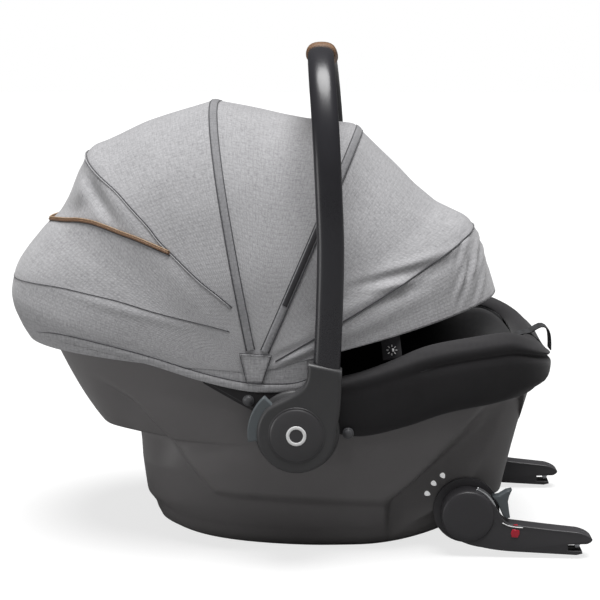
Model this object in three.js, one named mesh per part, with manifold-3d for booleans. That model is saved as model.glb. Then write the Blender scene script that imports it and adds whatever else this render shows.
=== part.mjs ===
// Rear-facing infant car seat: moulded shell, foam liner, padded seat with harness, folding hood,
// swinging carry handle and a pair of anchor-bar connector arms on a steel cross tube.
// Millimetres, +Z up, +X towards the feet, +Y to the left. The shell is symmetric about Y = 0.
import * as THREE from 'three';
import { mergeVertices } from 'three/addons/utils/BufferGeometryUtils.js';
import Module from 'manifold-3d';

const wasm = await Module();
wasm.setup();

// ---------------------------------------------------------------- driving dimensions
const GAP = 0.4;                      // between parts that touch
const HALF_WIDTH = 190;               // shell at its rim
const RIM = { xl: -385, xr: 240 };    // head end and foot end of the rim
const STEP_Z = 140;                   // underside of the head end
const WALL = 4;                       // shell wall
const CREASE_DEPTH = 9;               // how far the lower body is set in below the side panel
const HANDLE = { x: -48, z: 163 };    // handle pivot
const HUB = { r: 44.5, y0: 199, y1: 222, cap: 30.5 };
const BOSS = { r: 37, y0: 166, y1: 198.5 };
const TUBE = { wide: 30, thick: 19 };
const HOOD = { x: -95, z: 228, half: 196, cloth: 2.5 };   // hood pivot, half width, cloth thickness
const BOW_ANGLES = [101.5, 79.6, 66.5, 30];               // hood bows, degrees above +X
const REAR_SEAM = 131;                                    // where the fixed rear cover starts
const REAR_HEM = 176.7;
const FRONT_HEM = 13.5;
const BOW = { thick: 2.6, wide: 7.4, deep: 3.4, drop: 2.6, eye: 7.5, pin: 4, pitch: 3.2, first: 177.9 };
const ISOFIX = { x: 149, z: 49, y: 140, wide: 23, hub: 30.5, tube: 12, pocket: 123 };
const SEAT_SLOPE = { x0: -330, z0: 252, x1: 0, z1: 98 };  // straight back of the seat
const PAD = 12;                                           // seat pad thickness
const LINER = 17;                                         // foam thickness

// ---------------------------------------------------------------- solids
function toSolid(geometry) {
  const bare = geometry.index ? geometry.toNonIndexed() : geometry.clone();
  bare.deleteAttribute('normal');
  bare.deleteAttribute('uv');
  const merged = mergeVertices(bare, 1e-3);
  const solid = new wasm.Manifold(new wasm.Mesh({
    numProp: 3,
    vertProperties: merged.attributes.position.array,
    triVerts: new Uint32Array(merged.index.array),
  }));
  return solid;
}

function toGeometry(solid) {
  const mesh = solid.getMesh();
  const positions = new Float32Array(mesh.numVert * 3);
  for (let i = 0; i < mesh.numVert; i += 1) {
    positions.set(mesh.vertProperties.subarray(i * mesh.numProp, i * mesh.numProp + 3), i * 3);
  }
  const geometry = new THREE.BufferGeometry();
  geometry.setAttribute('position', new THREE.BufferAttribute(positions, 3));
  geometry.setIndex(new THREE.BufferAttribute(mesh.triVerts, 1));
  geometry.computeVertexNormals();
  return geometry;
}

const subtract = (a, ...others) => others.reduce((s, o) => s.subtract(o), a);
const unite = (a, ...others) => others.reduce((s, o) => s.add(o), a);

// A closed geometry from points and triangles, turned to face out.
function closed(points, triangles) {
  let volume = 0;
  triangles.forEach(([a, b, c]) => {
    volume += points[a].dot(new THREE.Vector3().crossVectors(points[b], points[c]));
  });
  const faces = volume < 0 ? triangles.map(([a, b, c]) => [a, c, b]) : triangles;
  const geometry = new THREE.BufferGeometry().setFromPoints(points);
  geometry.setIndex(faces.flat());
  geometry.computeVertexNormals();
  return geometry;
}

// Extrudes an outline drawn in X and Z from y0 to y1.
function prism(outline, y0, y1, holes = []) {
  const shape = outline instanceof THREE.Shape ? outline : new THREE.Shape(outline.map(([x, z]) => new THREE.Vector2(x, z)));
  holes.forEach((hole) => shape.holes.push(hole));
  const geometry = new THREE.ExtrudeGeometry(shape, { depth: y1 - y0, bevelEnabled: false, curveSegments: 7 });
  geometry.rotateX(Math.PI / 2);
  geometry.translate(0, y1, 0);
  return geometry;
}

function cylinderY(x, z, r, y0, y1, sides = 32) {
  const geometry = new THREE.CylinderGeometry(r, r, y1 - y0, sides);
  geometry.translate(x, (y0 + y1) / 2, z);
  return geometry;
}

function mirrored(geometry) {
  const copy = geometry.clone().scale(1, -1, 1);
  const index = copy.index ? Array.from(copy.index.array) : [...Array(copy.attributes.position.count).keys()];
  for (let i = 0; i < index.length; i += 3) [index[i + 1], index[i + 2]] = [index[i + 2], index[i + 1]];
  copy.setIndex(index);
  copy.computeVertexNormals();
  return copy;
}

// Both sides of the symmetry plane as one solid, for cutting.
const bothSides = (geometry) => toSolid(geometry).add(toSolid(mirrored(geometry)));

// A stack of closed loops of equal length, closed at its ends by strips across Y.
function stack(loops) {
  const count = loops[0].length;
  const points = loops.flat();
  const triangles = [];
  for (let k = 0; k + 1 < loops.length; k += 1) {
    for (let j = 0; j < count; j += 1) {
      const [a, b] = [k * count + j, k * count + ((j + 1) % count)];
      triangles.push([a, b, b + count], [a, b + count, a + count]);
    }
  }
  const cap = (base, flip) => {
    for (let j = 0; j < count / 2; j += 1) {
      const [a, b] = [j, j + 1];
      const [c, d] = [count - j - 1, (count - j) % count];
      const quad = [[a, b, c], [a, c, d]].filter((t) => new Set(t).size === 3);
      quad.forEach((t) => triangles.push((flip ? t : [t[0], t[2], t[1]]).map((i) => i + base)));
    }
  };
  cap(0, false);
  cap((loops.length - 1) * count, true);
  return closed(points, triangles);
}

// Joins sections of equal length into a solid with flat ends.
function loft(sections, cap) {
  const count = sections[0].length;
  const triangles = [];
  for (let k = 0; k + 1 < sections.length; k += 1) {
    for (let j = 0; j < count; j += 1) {
      const [a, b] = [k * count + j, k * count + ((j + 1) % count)];
      triangles.push([a, b, b + count], [a, b + count, a + count]);
    }
  }
  const last = (sections.length - 1) * count;
  const ends = cap || [...Array(count - 2).keys()].map((i) => [0, i + 1, i + 2]);
  ends.forEach(([a, b, c]) => triangles.push([a, c, b], [a + last, b + last, c + last]));
  return closed(sections.flat(), triangles);
}

// A thick sheet between two grids of points.
function sheet(outer, inner) {
  const [rows, columns] = [outer.length, outer[0].length];
  const size = rows * columns;
  const triangles = [];
  const quad = (a, b, c, d) => triangles.push([a, b, c], [a, c, d]);
  const at = (i, j) => i * columns + j;
  for (let i = 0; i + 1 < rows; i += 1) {
    for (let j = 0; j + 1 < columns; j += 1) {
      quad(at(i, j), at(i + 1, j), at(i + 1, j + 1), at(i, j + 1));
      quad(size + at(i, j), size + at(i, j + 1), size + at(i + 1, j + 1), size + at(i + 1, j));
    }
  }
  for (let i = 0; i + 1 < rows; i += 1) {
    quad(at(i, 0), size + at(i, 0), size + at(i + 1, 0), at(i + 1, 0));
    const e = columns - 1;
    quad(at(i, e), at(i + 1, e), size + at(i + 1, e), size + at(i, e));
  }
  for (let j = 0; j + 1 < columns; j += 1) {
    quad(at(0, j), at(0, j + 1), size + at(0, j + 1), size + at(0, j));
    const e = rows - 1;
    quad(at(e, j), size + at(e, j), size + at(e, j + 1), at(e, j + 1));
  }
  return closed([...outer.flat(), ...inner.flat()], triangles);
}

// ---------------------------------------------------------------- shell form
const clamp01 = (v) => Math.min(1, Math.max(0, v));
const smooth = (v) => clamp01(v) ** 2 * (3 - 2 * clamp01(v));
const mix = (a, b, t) => a + (b - a) * t;

// Smooth height through a list of [x, z].
function profile(points) {
  return (x) => {
    const last = points.length - 1;
    if (x <= points[0][0]) return points[0][1];
    if (x >= points[last][0]) return points[last][1];
    const i = points.findIndex((p) => p[0] > x) - 1;
    const slope = (k) => {
      const [a, b] = [points[Math.max(0, k - 1)], points[Math.min(last, k + 1)]];
      return (b[1] - a[1]) / (b[0] - a[0]);
    };
    const [[x0, z0], [x1, z1]] = [points[i], points[i + 1]];
    const [h, t] = [x1 - x0, (x - x0) / (x1 - x0)];
    return z0 * (1 + 2 * t) * (1 - t) ** 2 + h * slope(i) * t * (1 - t) ** 2
      + z1 * t * t * (3 - 2 * t) + h * slope(i + 1) * t * t * (t - 1);
  };
}

const rimHeight = profile([[-385, 304], [-350, 297], [-250, 264], [-150, 229], [-95, 213], [-48, 209],
  [0, 213], [50, 226], [100, 242], [150, 250], [200, 254], [235, 252]]);
const FOOT_DIP = 24;   // the foot end is lower in the middle
const rimZ = (x, y) => rimHeight(x) - FOOT_DIP * smooth((x - 180) / 40) * clamp01(1 - (y / 150) ** 2);

// Everything above the rim surface, raised by a height.
function sky(lift = 0) {
  const xs = [...Array(18).keys()].map((i) => -430 + i * 35).concat([...Array(13).keys()].map((i) => 185 + i * 6));
  const ys = [...Array(13).keys()].map((i) => -240 + i * 40);
  const grid = (z) => xs.map((x) => ys.map((y) => new THREE.Vector3(x, y, z(x, y))));
  return toSolid(sheet(grid(() => 640), grid((x, y) => rimZ(x, y) + lift)));
}

const rockerZ = (x) => (x < -20 ? (x + 20) ** 2 / 2300 : Math.max(0, x - 20) ** 2 / 600);

const LOOP_POINTS = 36;

// A plan outline: rounded at the head end, squarer and a little narrower at the foot end.
function planLoop({ xl, xr, b, head = 2.6, foot = 5, z, count = LOOP_POINTS }) {
  return [...Array(count).keys()].map((j) => {
    const t = (2 * Math.PI * j) / count;
    const [c, s] = [Math.cos(t), Math.sin(t)];
    const n = mix(head, foot, smooth((c + 1) / 2));
    const k = (Math.abs(c) ** n + Math.abs(s) ** n) ** (-1 / n);
    const x = (xl + xr) / 2 + ((xr - xl) / 2) * c * k;
    const taper = 1 - 0.13 * smooth((x - xl) / (xr - xl) * 2 - 1);
    const y = j === count / 2 ? 0 : b * s * k * taper;
    return new THREE.Vector3(x, y, z(x, y));
  });
}

// The upper wall at a depth from 0, the rim, to 1, the underside of the head end.
const wallAt = (depth, inset = 0) => ({
  xl: RIM.xl + 76 * depth + 9 * depth ** 4 + inset,
  xr: RIM.xr - 26 * depth - inset,
  b: HALF_WIDTH - 14 * depth - inset,
  z: (x, y) => mix(rimZ(x, y), STEP_Z + inset, depth),
});

// Below the step: height, ends and half width of each level.
const LOWER = [
  { z: () => 137, xl: -264, xr: 213, b: 172 },
  { z: () => 117, xl: -249, xr: 208, b: 166 },
  { z: () => 66, xl: -239, xr: 197, b: 153 },
  { z: (x) => rockerZ(x) + 18, xl: -231, xr: 187, b: 140 },
  { z: (x) => rockerZ(x) + 5, xl: -217, xr: 171, b: 131 },
  { z: (x) => rockerZ(x), xl: -203, xr: 156, b: 121 },
];

function bodyLoops(inset, sideInset) {
  const upper = [-0.35, 0.7, 1].map((depth) => {
    const wall = wallAt(depth, inset);
    return planLoop({ ...wall, b: wall.b - sideInset });
  });
  const lower = LOWER.map(({ z, xl, xr, b }) => planLoop({
    xl: xl + inset,
    xr: xr - inset,
    b: b - inset - sideInset,
    head: 4,
    foot: 5,
    z: (x, y) => z(x, y) + inset,
  }));
  return [...upper, ...lower];
}

// The shell's filled form, inset by a wall thickness for its inside.
function bodyForm(inset) {
  const wide = bodyLoops(inset, 0);
  const narrow = bodyLoops(inset, CREASE_DEPTH);
  const i = inset;
  const panel = [[-460, 420], [-460, 236 + i], [-279, 208 + i], [-239, 187 + i], [-204 + i, 150], [-178 + i, 116],
    [-145, 81 + i], [-110, 78 + i], [50, 68 + i], [69 - i, 80 + i], [86 - i, 95 + i], [110 - i, 122 + i],
    [146 - i, 164 + i], [166 - i, 185 + i], [186, 193 + i], [300, 201 + i], [300, 420]];
  const raised = toSolid(stack(wide)).intersect(toSolid(prism(panel, -260, 260)));
  const pocket = [[52 - i, 60], [69 - i, 78 + i], [86 - i, 93 + i], [110 - i, 120 + i], [146 - i, 162 + i],
    [166 - i, 184 + i], [186, 192 + i], [300, 200 + i], [300, -30], [52 - i, -30]];
  const armPocket = bothSides(prism(pocket, ISOFIX.pocket - i, 260));
  return subtract(unite(raised, toSolid(stack(narrow))), armPocket);
}

function outerShell() {
  const boss = bothSides(cylinderY(HANDLE.x, HANDLE.z, BOSS.r, BOSS.y0, BOSS.y1));
  const axleHole = toSolid(cylinderY(HANDLE.x, HANDLE.z, 7 + GAP, -230, 230));
  const tubeHole = toSolid(cylinderY(ISOFIX.x, ISOFIX.z, ISOFIX.tube + 1, -230, 230));
  return subtract(unite(bodyForm(0).subtract(bodyForm(WALL)), boss), axleHole, tubeHole, sky());
}

// ---------------------------------------------------------------- seat form
const backZ = (x) => mix(SEAT_SLOPE.z0, SEAT_SLOPE.z1, (x - SEAT_SLOPE.x0) / (SEAT_SLOPE.x1 - SEAT_SLOPE.x0));
const seatZ = profile([[-345, 262], [-330, 252], [-247.5, 213.5], [-165, 175], [-82.5, 136.5], [0, 98], [28, 86],
  [60, 80], [92, 91], [130, 124], [165, 166], [200, 214]]);

// Levels of the seat's hollow, from the opening down to its surface, grown by a thickness.
function seatHollow(grow) {
  const levels = [
    { t: 0, xl: -362, xr: 216, b: 163 },
    { t: 0.45, xl: -351, xr: 207, b: 152 },
    { t: 0.8, xl: -338, xr: 194, b: 138 },
    { t: 0.95, xl: -328, xr: 180, b: 124 },
    { t: 1, xl: -312, xr: 160, b: 104 },
  ];
  const loops = levels.map(({ t, xl, xr, b }) => planLoop({
    xl: xl - grow,
    xr: xr + grow,
    b: b + grow,
    head: 2.8,
    foot: 4,
    z: (x, y) => mix(rimZ(x, y), seatZ(x) - grow, t),
  }));
  loops.unshift(loops[0].map((p) => p.clone().setZ(p.z + 60)));
  return toSolid(stack(loops));
}

const mountGuard = () => bothSides(prism([[-116, 184], [-74, 184], [-74, 260], [-116, 260]], 170, 200));
const bossGuard = () => bothSides(cylinderY(HANDLE.x, HANDLE.z, BOSS.r + 1.5, BOSS.y0 - 2, 200));

// The liner fills the space under the rim and behind the pad, inside the shell wall.
function foamLiner() {
  const under = toSolid(stack([0, 0.14].map((depth) => planLoop(wallAt(depth, WALL + 1.5))).concat([
    planLoop({ xl: -366, xr: 216, b: 172, z: (x, y) => rimZ(x, y) - 26 }),
  ])));
  const tub = seatHollow(PAD + LINER).intersect(bodyForm(WALL + 0.6));
  const form = unite(tub, under.intersect(bodyForm(WALL + 0.6)));
  return subtract(form, seatHollow(PAD), mountGuard(), bossGuard(), ...slotsInBack(), sky(-1.5));
}

function slotsInBack() {
  const slot = prism([[-186, 130], [-170, 130], [-170, 220], [-186, 220]], 14, 60);
  const crotch = prism([[50, 30], [58, 30], [58, 110], [50, 110]], -22, 22);
  return [bothSides(slot), toSolid(crotch)];
}

function seatPad() {
  const form = seatHollow(PAD - GAP).intersect(bodyForm(WALL + 0.6));
  const adjusterSeat = toSolid(turned(roundedBox(ADJUSTER.long + 3, ADJUSTER.wide + 3, 26, 8), ADJUSTER));
  return subtract(form, seatHollow(0), mountGuard(), bossGuard(), ...slotsInBack(), adjusterSeat, sky());
}

// ---------------------------------------------------------------- rim cover
const COVER = { rear: -168, thick: 4.4, clear: 1.8, flange: -14, hub: 41, points: 72 };
const coverLow = profile([[-168, 219], [-123, 196], [-106, 186], [-40, 164], [9, 153], [67, 164], [123, 180], [180, 192],
  [240, 204]]);

function rimCover() {
  const rim = planLoop({ ...wallAt(0), count: COVER.points });
  const n = rim.length;
  const kept = [...Array(n).keys()].map((j) => (j + n / 2) % n).filter((j) => rim[j].x > COVER.rear - 50);
  const sections = kept.map((j) => {
    const p = rim[j];
    const along = rim[(j + 1) % n].clone().sub(rim[(j + n - 1) % n]).setZ(0).normalize();
    const out = new THREE.Vector3(along.y, -along.x, 0);
    const depth = (p.z - coverLow(p.x)) / (p.z - STEP_Z);
    const low = planLoop({ ...wallAt(depth), count: COVER.points })[j];
    const at = (base, offset, z) => base.clone().addScaledVector(out, offset).setZ(z);
    const inward = at(p, COVER.flange, 0);
    const inner = Math.max(rimZ(inward.x, inward.y), rimZ(p.x, p.y));
    const [t0, t1] = [COVER.clear, COVER.clear + COVER.thick];
    return [at(low, t0, coverLow(p.x)), at(low, t1, coverLow(p.x)), at(p, t1, p.z + 3.5), at(p, t0, inner + 7.6),
      at(p, COVER.flange, inner + 6.6), at(p, COVER.flange, inner + 2.4), at(p, t0, inner + 2.4)];
  });
  const cap = [[0, 1, 6], [1, 2, 6], [2, 3, 6], [3, 5, 6], [3, 4, 5]];
  const hubHole = bothSides(cylinderY(HANDLE.x, HANDLE.z, COVER.hub, 150, 230));
  const mountSlot = bothSides(prism([[-114, 180], [-76, 180], [-76, 260], [-114, 260]], 160, 182));
  const bowSlot = toSolid(prism([[-112, 217.5], [-78, 217.5], [-78, 260], [-112, 260]], -220, 220));
  const behind = toSolid(prism([[-300, 100], [COVER.rear, 100], [COVER.rear, 300], [-300, 300]], -260, 260));
  const underHem = bothSides(prism([[-300, 229.5], [-118, 229.5], [-118, 300], [-300, 300]], 160, 230));
  return subtract(toSolid(loft(sections, cap)), hubHole, mountSlot, bowSlot, behind, underHem);
}

// ---------------------------------------------------------------- hood
const HOOD_PROFILE = [[190, 288], [190, 291], [182, 318], [175, 343], [164, 373], [151, 387], [139, 396], [17, 499],
  [-44, 505], [-159, 527], [-311, 462], [-324, 445], [-337, 416], [-353, 393], [-367, 376], [-387, 353],
  [-403, 325], [-410, 296], [-396, 257], [-387, 245], [-384, 240]];

// The hood's reach from its pivot at an angle, along the taut cloth between the profile's points.
function hoodReach(degrees) {
  const a = (degrees * Math.PI) / 180;
  const [dx, dz] = [Math.cos(a), Math.sin(a)];
  for (let i = 0; i + 1 < HOOD_PROFILE.length; i += 1) {
    const [[x0, z0], [x1, z1]] = [HOOD_PROFILE[i], HOOD_PROFILE[i + 1]].map(([x, z]) => [x - HOOD.x, z - HOOD.z]);
    const det = dx * (z1 - z0) - dz * (x1 - x0);
    const s = (dz * x0 - dx * z0) / det;
    if (s >= -1e-6 && s <= 1 + 1e-6) return (x0 + s * (x1 - x0)) * dx + (z0 + s * (z1 - z0)) * dz;
  }
  throw new Error(`no hood profile at ${degrees}`);
}

const hoodPower = (degrees) => 2.2 + 0.3 * smooth((degrees - 90) / 90);

function arch(degrees, half, drop, steps, minReach) {
  const reach = hoodReach(degrees) - drop;
  const n = hoodPower(degrees);
  const end = Math.acos((minReach / reach) ** (n / 2));
  return [...Array(steps + 1).keys()].map((i) => {
    const phi = mix(-end, end, i / steps);
    const y = half * Math.sign(phi) * Math.abs(Math.sin(phi)) ** (2 / n);
    return [i * 2 === steps ? 0 : y, reach * Math.cos(phi) ** (2 / n)];
  });
}

function hoodPoint(degrees, y, reach) {
  const a = (degrees * Math.PI) / 180;
  return new THREE.Vector3(HOOD.x + reach * Math.cos(a), y, HOOD.z + reach * Math.sin(a));
}

// A stretch of hood cloth between two angles.
function hoodPanel(from, to, steps, minReach = 24, across = 20) {
  const grid = (half, drop) => [...Array(steps + 1).keys()].map((i) => {
    const degrees = mix(from, to, i / steps);
    return arch(degrees, half, drop, across, minReach).map(([y, reach]) => hoodPoint(degrees, y, reach));
  });
  return sheet(grid(HOOD.half, 0), grid(HOOD.half - HOOD.cloth, HOOD.cloth));
}

// A flat strip bent into an arch, with an eye at each foot on the hood's pivot pin.
function hoodBow(index) {
  const degrees = BOW_ANGLES[index];
  const a = (degrees * Math.PI) / 180;
  const y0 = BOW.first + index * BOW.pitch;
  const outer = arch(degrees, y0 + BOW.thick, HOOD.cloth + BOW.drop, 20, 0.01);
  const inner = arch(degrees, y0, HOOD.cloth + BOW.drop + BOW.deep, 20, 0.01);
  const shape = new THREE.Shape([...outer, ...inner.reverse()].map(([y, r]) => new THREE.Vector2(y, Math.max(r, 0))));
  const strip = new THREE.ExtrudeGeometry(shape, { depth: BOW.wide, bevelEnabled: false });
  strip.translate(0, 0, -BOW.wide / 2);
  strip.applyMatrix4(new THREE.Matrix4().makeBasis(
    new THREE.Vector3(0, 1, 0),
    new THREE.Vector3(Math.cos(a), 0, Math.sin(a)),
    new THREE.Vector3(Math.sin(a), 0, -Math.cos(a)),
  ));
  strip.translate(HOOD.x, 0, HOOD.z);
  const eyes = bothSides(cylinderY(HOOD.x, HOOD.z, BOW.eye, y0, y0 + BOW.thick, 20));
  const pin = toSolid(cylinderY(HOOD.x, HOOD.z, BOW.pin + 0.3, -230, 230, 20));
  return subtract(unite(toSolid(strip), eyes), pin);
}

// Bracket inside the shell wall that carries the hood's pivot pin.
function hoodMount() {
  const plate = prism([[-112, 186], [-78, 186], [-78, 226], [-84, 240], [-106, 240], [-112, 226]], 172.4, 177);
  const pin = cylinderY(HOOD.x, HOOD.z, BOW.pin, 174, 190.4, 20);
  return unite(toSolid(plate), toSolid(pin));
}

// ---------------------------------------------------------------- carry handle
const HANDLE_LEG = [[-16, 209.7, 214], [-12.5, 209.4, 290], [-11, 208, 367], [-13, 205, 422], [-15.5, 199, 470],
  [-18.5, 184, 515], [-22, 156, 553], [-24.5, 116, 576], [-25.5, 60, 583.5], [-26, 0, 584]];
const handlePath = new THREE.CatmullRomCurve3([
  ...HANDLE_LEG.map(([x, y, z]) => new THREE.Vector3(x, -y, z)),
  ...HANDLE_LEG.slice(0, -1).reverse().map(([x, y, z]) => new THREE.Vector3(x, y, z)),
]);

// An oval tube along part of the handle's path; its wide side stays along X.
function handleTube(from, to, steps, wide, thick, sides = 16) {
  const sections = [...Array(steps + 1).keys()].map((i) => {
    const u = mix(from, to, i / steps);
    const centre = handlePath.getPointAt(u);
    const tangent = handlePath.getTangentAt(u);
    const side = new THREE.Vector3(1, 0, 0).addScaledVector(tangent, -tangent.x).normalize();
    const up = new THREE.Vector3().crossVectors(tangent, side);
    return [...Array(sides).keys()].map((j) => {
      const t = (2 * Math.PI * j) / sides;
      const k = (Math.abs(Math.cos(t)) ** 2.5 + Math.abs(Math.sin(t)) ** 2.5) ** (-1 / 2.5);
      return centre.clone().addScaledVector(side, (wide / 2) * k * Math.cos(t))
        .addScaledVector(up, (thick / 2) * k * Math.sin(t));
    });
  });
  return loft(sections);
}

const GRIP = { from: 0.4, to: 0.6, thick: 2.2 };

function handleBow() {
  return toSolid(handleTube(0, 1, 40, TUBE.wide, TUBE.thick));
}

function handleGrip() {
  const outside = handleTube(GRIP.from, GRIP.to, 14, TUBE.wide + 2 * GRIP.thick, TUBE.thick + 2 * GRIP.thick);
  const bore = handleTube(0, 1, 40, TUBE.wide + 2 * GAP, TUBE.thick + 2 * GAP);
  return toSolid(outside).subtract(toSolid(bore));
}

function hubOutline() {
  const { x, z } = HANDLE;
  const shape = new THREE.Shape();
  shape.moveTo(2, 236);
  shape.lineTo(-35, 244);
  shape.bezierCurveTo(-35, 226, -37, 219, -46, 212);
  shape.bezierCurveTo(-58, 204, -75, 202, x + HUB.r * Math.cos(2.42), z + HUB.r * Math.sin(2.42));
  shape.absarc(x, z, HUB.r, 2.42, 2 * Math.PI + 0.05, false);
  shape.bezierCurveTo(0, 185, 2, 200, 2, 236);
  return shape;
}

const BUTTON = { a0: 2.25, a1: 3.35, r0: 39, r1: 55, y0: 205, y1: 217 };

function ringSector(r0, r1, a0, a1, y0, y1) {
  const shape = new THREE.Shape();
  shape.absarc(HANDLE.x, HANDLE.z, r1, a0, a1, false);
  shape.absarc(HANDLE.x, HANDLE.z, r0, a1, a0, true);
  return prism(shape, y0, y1);
}

function handleHub() {
  const body = toSolid(prism(hubOutline(), HUB.y0, HUB.y1));
  const capSeat = toSolid(cylinderY(HANDLE.x, HANDLE.z, HUB.cap + GAP, HUB.y1 - 4, 230, 40));
  const axle = toSolid(cylinderY(HANDLE.x, HANDLE.z, 7.6, 190, 230));
  const socket = toSolid(mirrored(handleTube(0, 0.12, 6, TUBE.wide + 0.8, TUBE.thick + 0.8)));
  const buttonSlot = toSolid(ringSector(BUTTON.r0 - 8, 70, BUTTON.a0 - 0.1, BUTTON.a1 + 0.1, BUTTON.y0 - 1,
    BUTTON.y1 + 1));
  return subtract(body, capSeat, axle, socket, buttonSlot);
}

// ---------------------------------------------------------------- anchor connectors
const MOUTH = { x: 266, z0: 8.8, z1: 16.2 };

function armOutline() {
  const { x, z, hub } = ISOFIX;
  const shape = new THREE.Shape();
  shape.moveTo(276, 3.8);
  shape.lineTo(283, 5.6);
  shape.lineTo(282.4, MOUTH.z0);
  shape.lineTo(MOUTH.x, MOUTH.z0);
  shape.lineTo(MOUTH.x, MOUTH.z1);
  shape.lineTo(288, MOUTH.z1 + 1);
  shape.quadraticCurveTo(294.5, 20, 294, 23);
  shape.quadraticCurveTo(290, 32, 277, 35);
  shape.lineTo(200, 43.6);
  shape.quadraticCurveTo(190, 44.6, 186, 52);
  shape.quadraticCurveTo(180, 64, x + hub * Math.cos(0.75), z + hub * Math.sin(0.75));
  shape.absarc(x, z, hub, 0.75, Math.PI + 0.75, false);
  shape.quadraticCurveTo(142, 14.5, 167, 11.5);
  shape.quadraticCurveTo(182, 8, 204, 7);
  return shape;
}

const [ARM0, ARM1] = [ISOFIX.y - ISOFIX.wide / 2, ISOFIX.y + ISOFIX.wide / 2];
const HOOK = { x: 254, z: 25, y0: 137.2, y1: 142.8 };

function isofixArm() {
  const body = toSolid(prism(armOutline(), ARM0, ARM1));
  const shaft = toSolid(cylinderY(ISOFIX.x, ISOFIX.z, ISOFIX.tube + GAP, ARM0 - 2, ARM1 - 3));
  const slit = toSolid(prism([[232, -5], [300, -5], [300, 60], [232, 60]], 134, 146));
  const leverSeat = toSolid(prism([[172, 55], [188, 40], [204, 40], [204, 60], [190, 90], [172, 90]], 132.6, 147.4));
  const window = toSolid(prism([[200, 30], [214, 30], [214, 41], [200, 41]], ARM1 - 3.5, ARM1 + 2));
  return subtract(body, shaft, slit, leverSeat, window);
}

// The steel fork that takes the vehicle's anchor bar: two cheeks and a back web.
function latchFork() {
  const outline = [[234, 7.5], [281.5, 7.5], [281.5, MOUTH.z0], [MOUTH.x, MOUTH.z0], [MOUTH.x, MOUTH.z1],
    [289, MOUTH.z1 + 1.4], [291, 22], [284, 30.4], [234, 30.4]];
  const whole = toSolid(prism(outline, 134.4, 145.6));
  return whole.subtract(toSolid(prism([[239, -5], [300, -5], [300, 40], [239, 40]], 136.9, 143.1)));
}

function latchHook() {
  const outline = [[248, 21], [254, 18.6], [270, 18.8], [273.5, 17], [276, 9.8], [279, 9.6], [283.5, 19], [284, 22.4],
    [278, 26], [256, 30.2], [248, 29]];
  return toSolid(prism(outline, HOOK.y0, HOOK.y1));
}

function releaseLever() {
  const shape = new THREE.Shape([[194, 44.6], [199, 46], [196, 56], [194.5, 68], [199, 80], [193, 79], [184, 73.5],
    [177.5, 72], [181, 66], [187, 56]].map(([x, z]) => new THREE.Vector2(x, z)));
  return toSolid(prism(shape, 133.2, 146.8));
}

// ---------------------------------------------------------------- harness
// The outline of a strap of a given thickness along a path in X and Z.
function strap(path, thickness, y0, y1) {
  const side = (sign) => path.map(([x, z], i) => {
    const [a, b] = [path[Math.max(0, i - 1)], path[Math.min(path.length - 1, i + 1)]];
    const length = Math.hypot(b[0] - a[0], b[1] - a[1]);
    const [nx, nz] = [-(b[1] - a[1]) / length, (b[0] - a[0]) / length];
    return [x + (sign * nx * thickness) / 2, z + (sign * nz * thickness) / 2];
  });
  return prism([...side(-1), ...side(1).reverse()], y0, y1);
}

const onBack = (x, lift) => [x + lift * 0.423, backZ(x) + lift * 0.906];
const SHOULDER = [[-178, 152], [-177, 178], onBack(-171, 10), onBack(-160, 13), onBack(-140, 13), onBack(-100, 11),
  onBack(-50, 11), onBack(-12, 13)];
const BUCKLE = { x: 24, z: 112, tilt: -0.4, long: 58, wide: 56, thick: 19 };

function turned(geometry, { x, z, tilt }) {
  geometry.rotateY(-tilt);
  geometry.translate(x, 0, z);
  return geometry;
}

function roundedBox(long, wide, thick, r) {
  const shape = new THREE.Shape();
  const [a, b] = [long / 2, wide / 2];
  shape.absarc(a - r, b - r, r, 0, Math.PI / 2);
  shape.absarc(-a + r, b - r, r, Math.PI / 2, Math.PI);
  shape.absarc(-a + r, -b + r, r, Math.PI, 1.5 * Math.PI);
  shape.absarc(a - r, -b + r, r, 1.5 * Math.PI, 2 * Math.PI);
  const geometry = new THREE.ExtrudeGeometry(shape, { depth: thick, bevelEnabled: false, curveSegments: 3 });
  return geometry.translate(0, 0, -thick / 2);
}

function buckleBody() {
  const body = roundedBox(BUCKLE.long, BUCKLE.wide, BUCKLE.thick, 14);
  const seat = roundedBox(24, 30, 8, 5).translate(4, 0, BUCKLE.thick / 2);
  return toSolid(turned(body, BUCKLE)).subtract(toSolid(turned(seat, BUCKLE)));
}

const buckleButton = () => toSolid(turned(roundedBox(23, 29, 6, 4.6).translate(4, 0, BUCKLE.thick / 2 + 1.4), BUCKLE));
const CROTCH = [[53, 46], [53, 84], [52, 92], [51, 97]];

const ADJUSTER = { x: 146, z: 148.5, tilt: 0.86, long: 40, wide: 44, thick: 9 };

function adjusterHousing() {
  const body = roundedBox(ADJUSTER.long, ADJUSTER.wide, ADJUSTER.thick, 8);
  const seat = roundedBox(20, 26, 6, 5).translate(6, 0, ADJUSTER.thick / 2);
  const slot = roundedBox(5, 30, 40, 1).translate(-13, 0, 0);
  return subtract(toSolid(turned(body, ADJUSTER)), toSolid(turned(seat, ADJUSTER)), toSolid(turned(slot, ADJUSTER)));
}

const adjusterButton = () => toSolid(turned(
  roundedBox(19, 25, 5, 4.6).translate(6, 0, ADJUSTER.thick / 2 + 1.4), ADJUSTER,
));
const PULL_STRAP = [[168, 184], [180, 200], [193, 217], [208, 231], [222, 239.5], [234, 242], [241, 246.5],
  [248, 249.5], [254, 247.5], [257.5, 241], [259, 231], [259.3, 220]];

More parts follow.
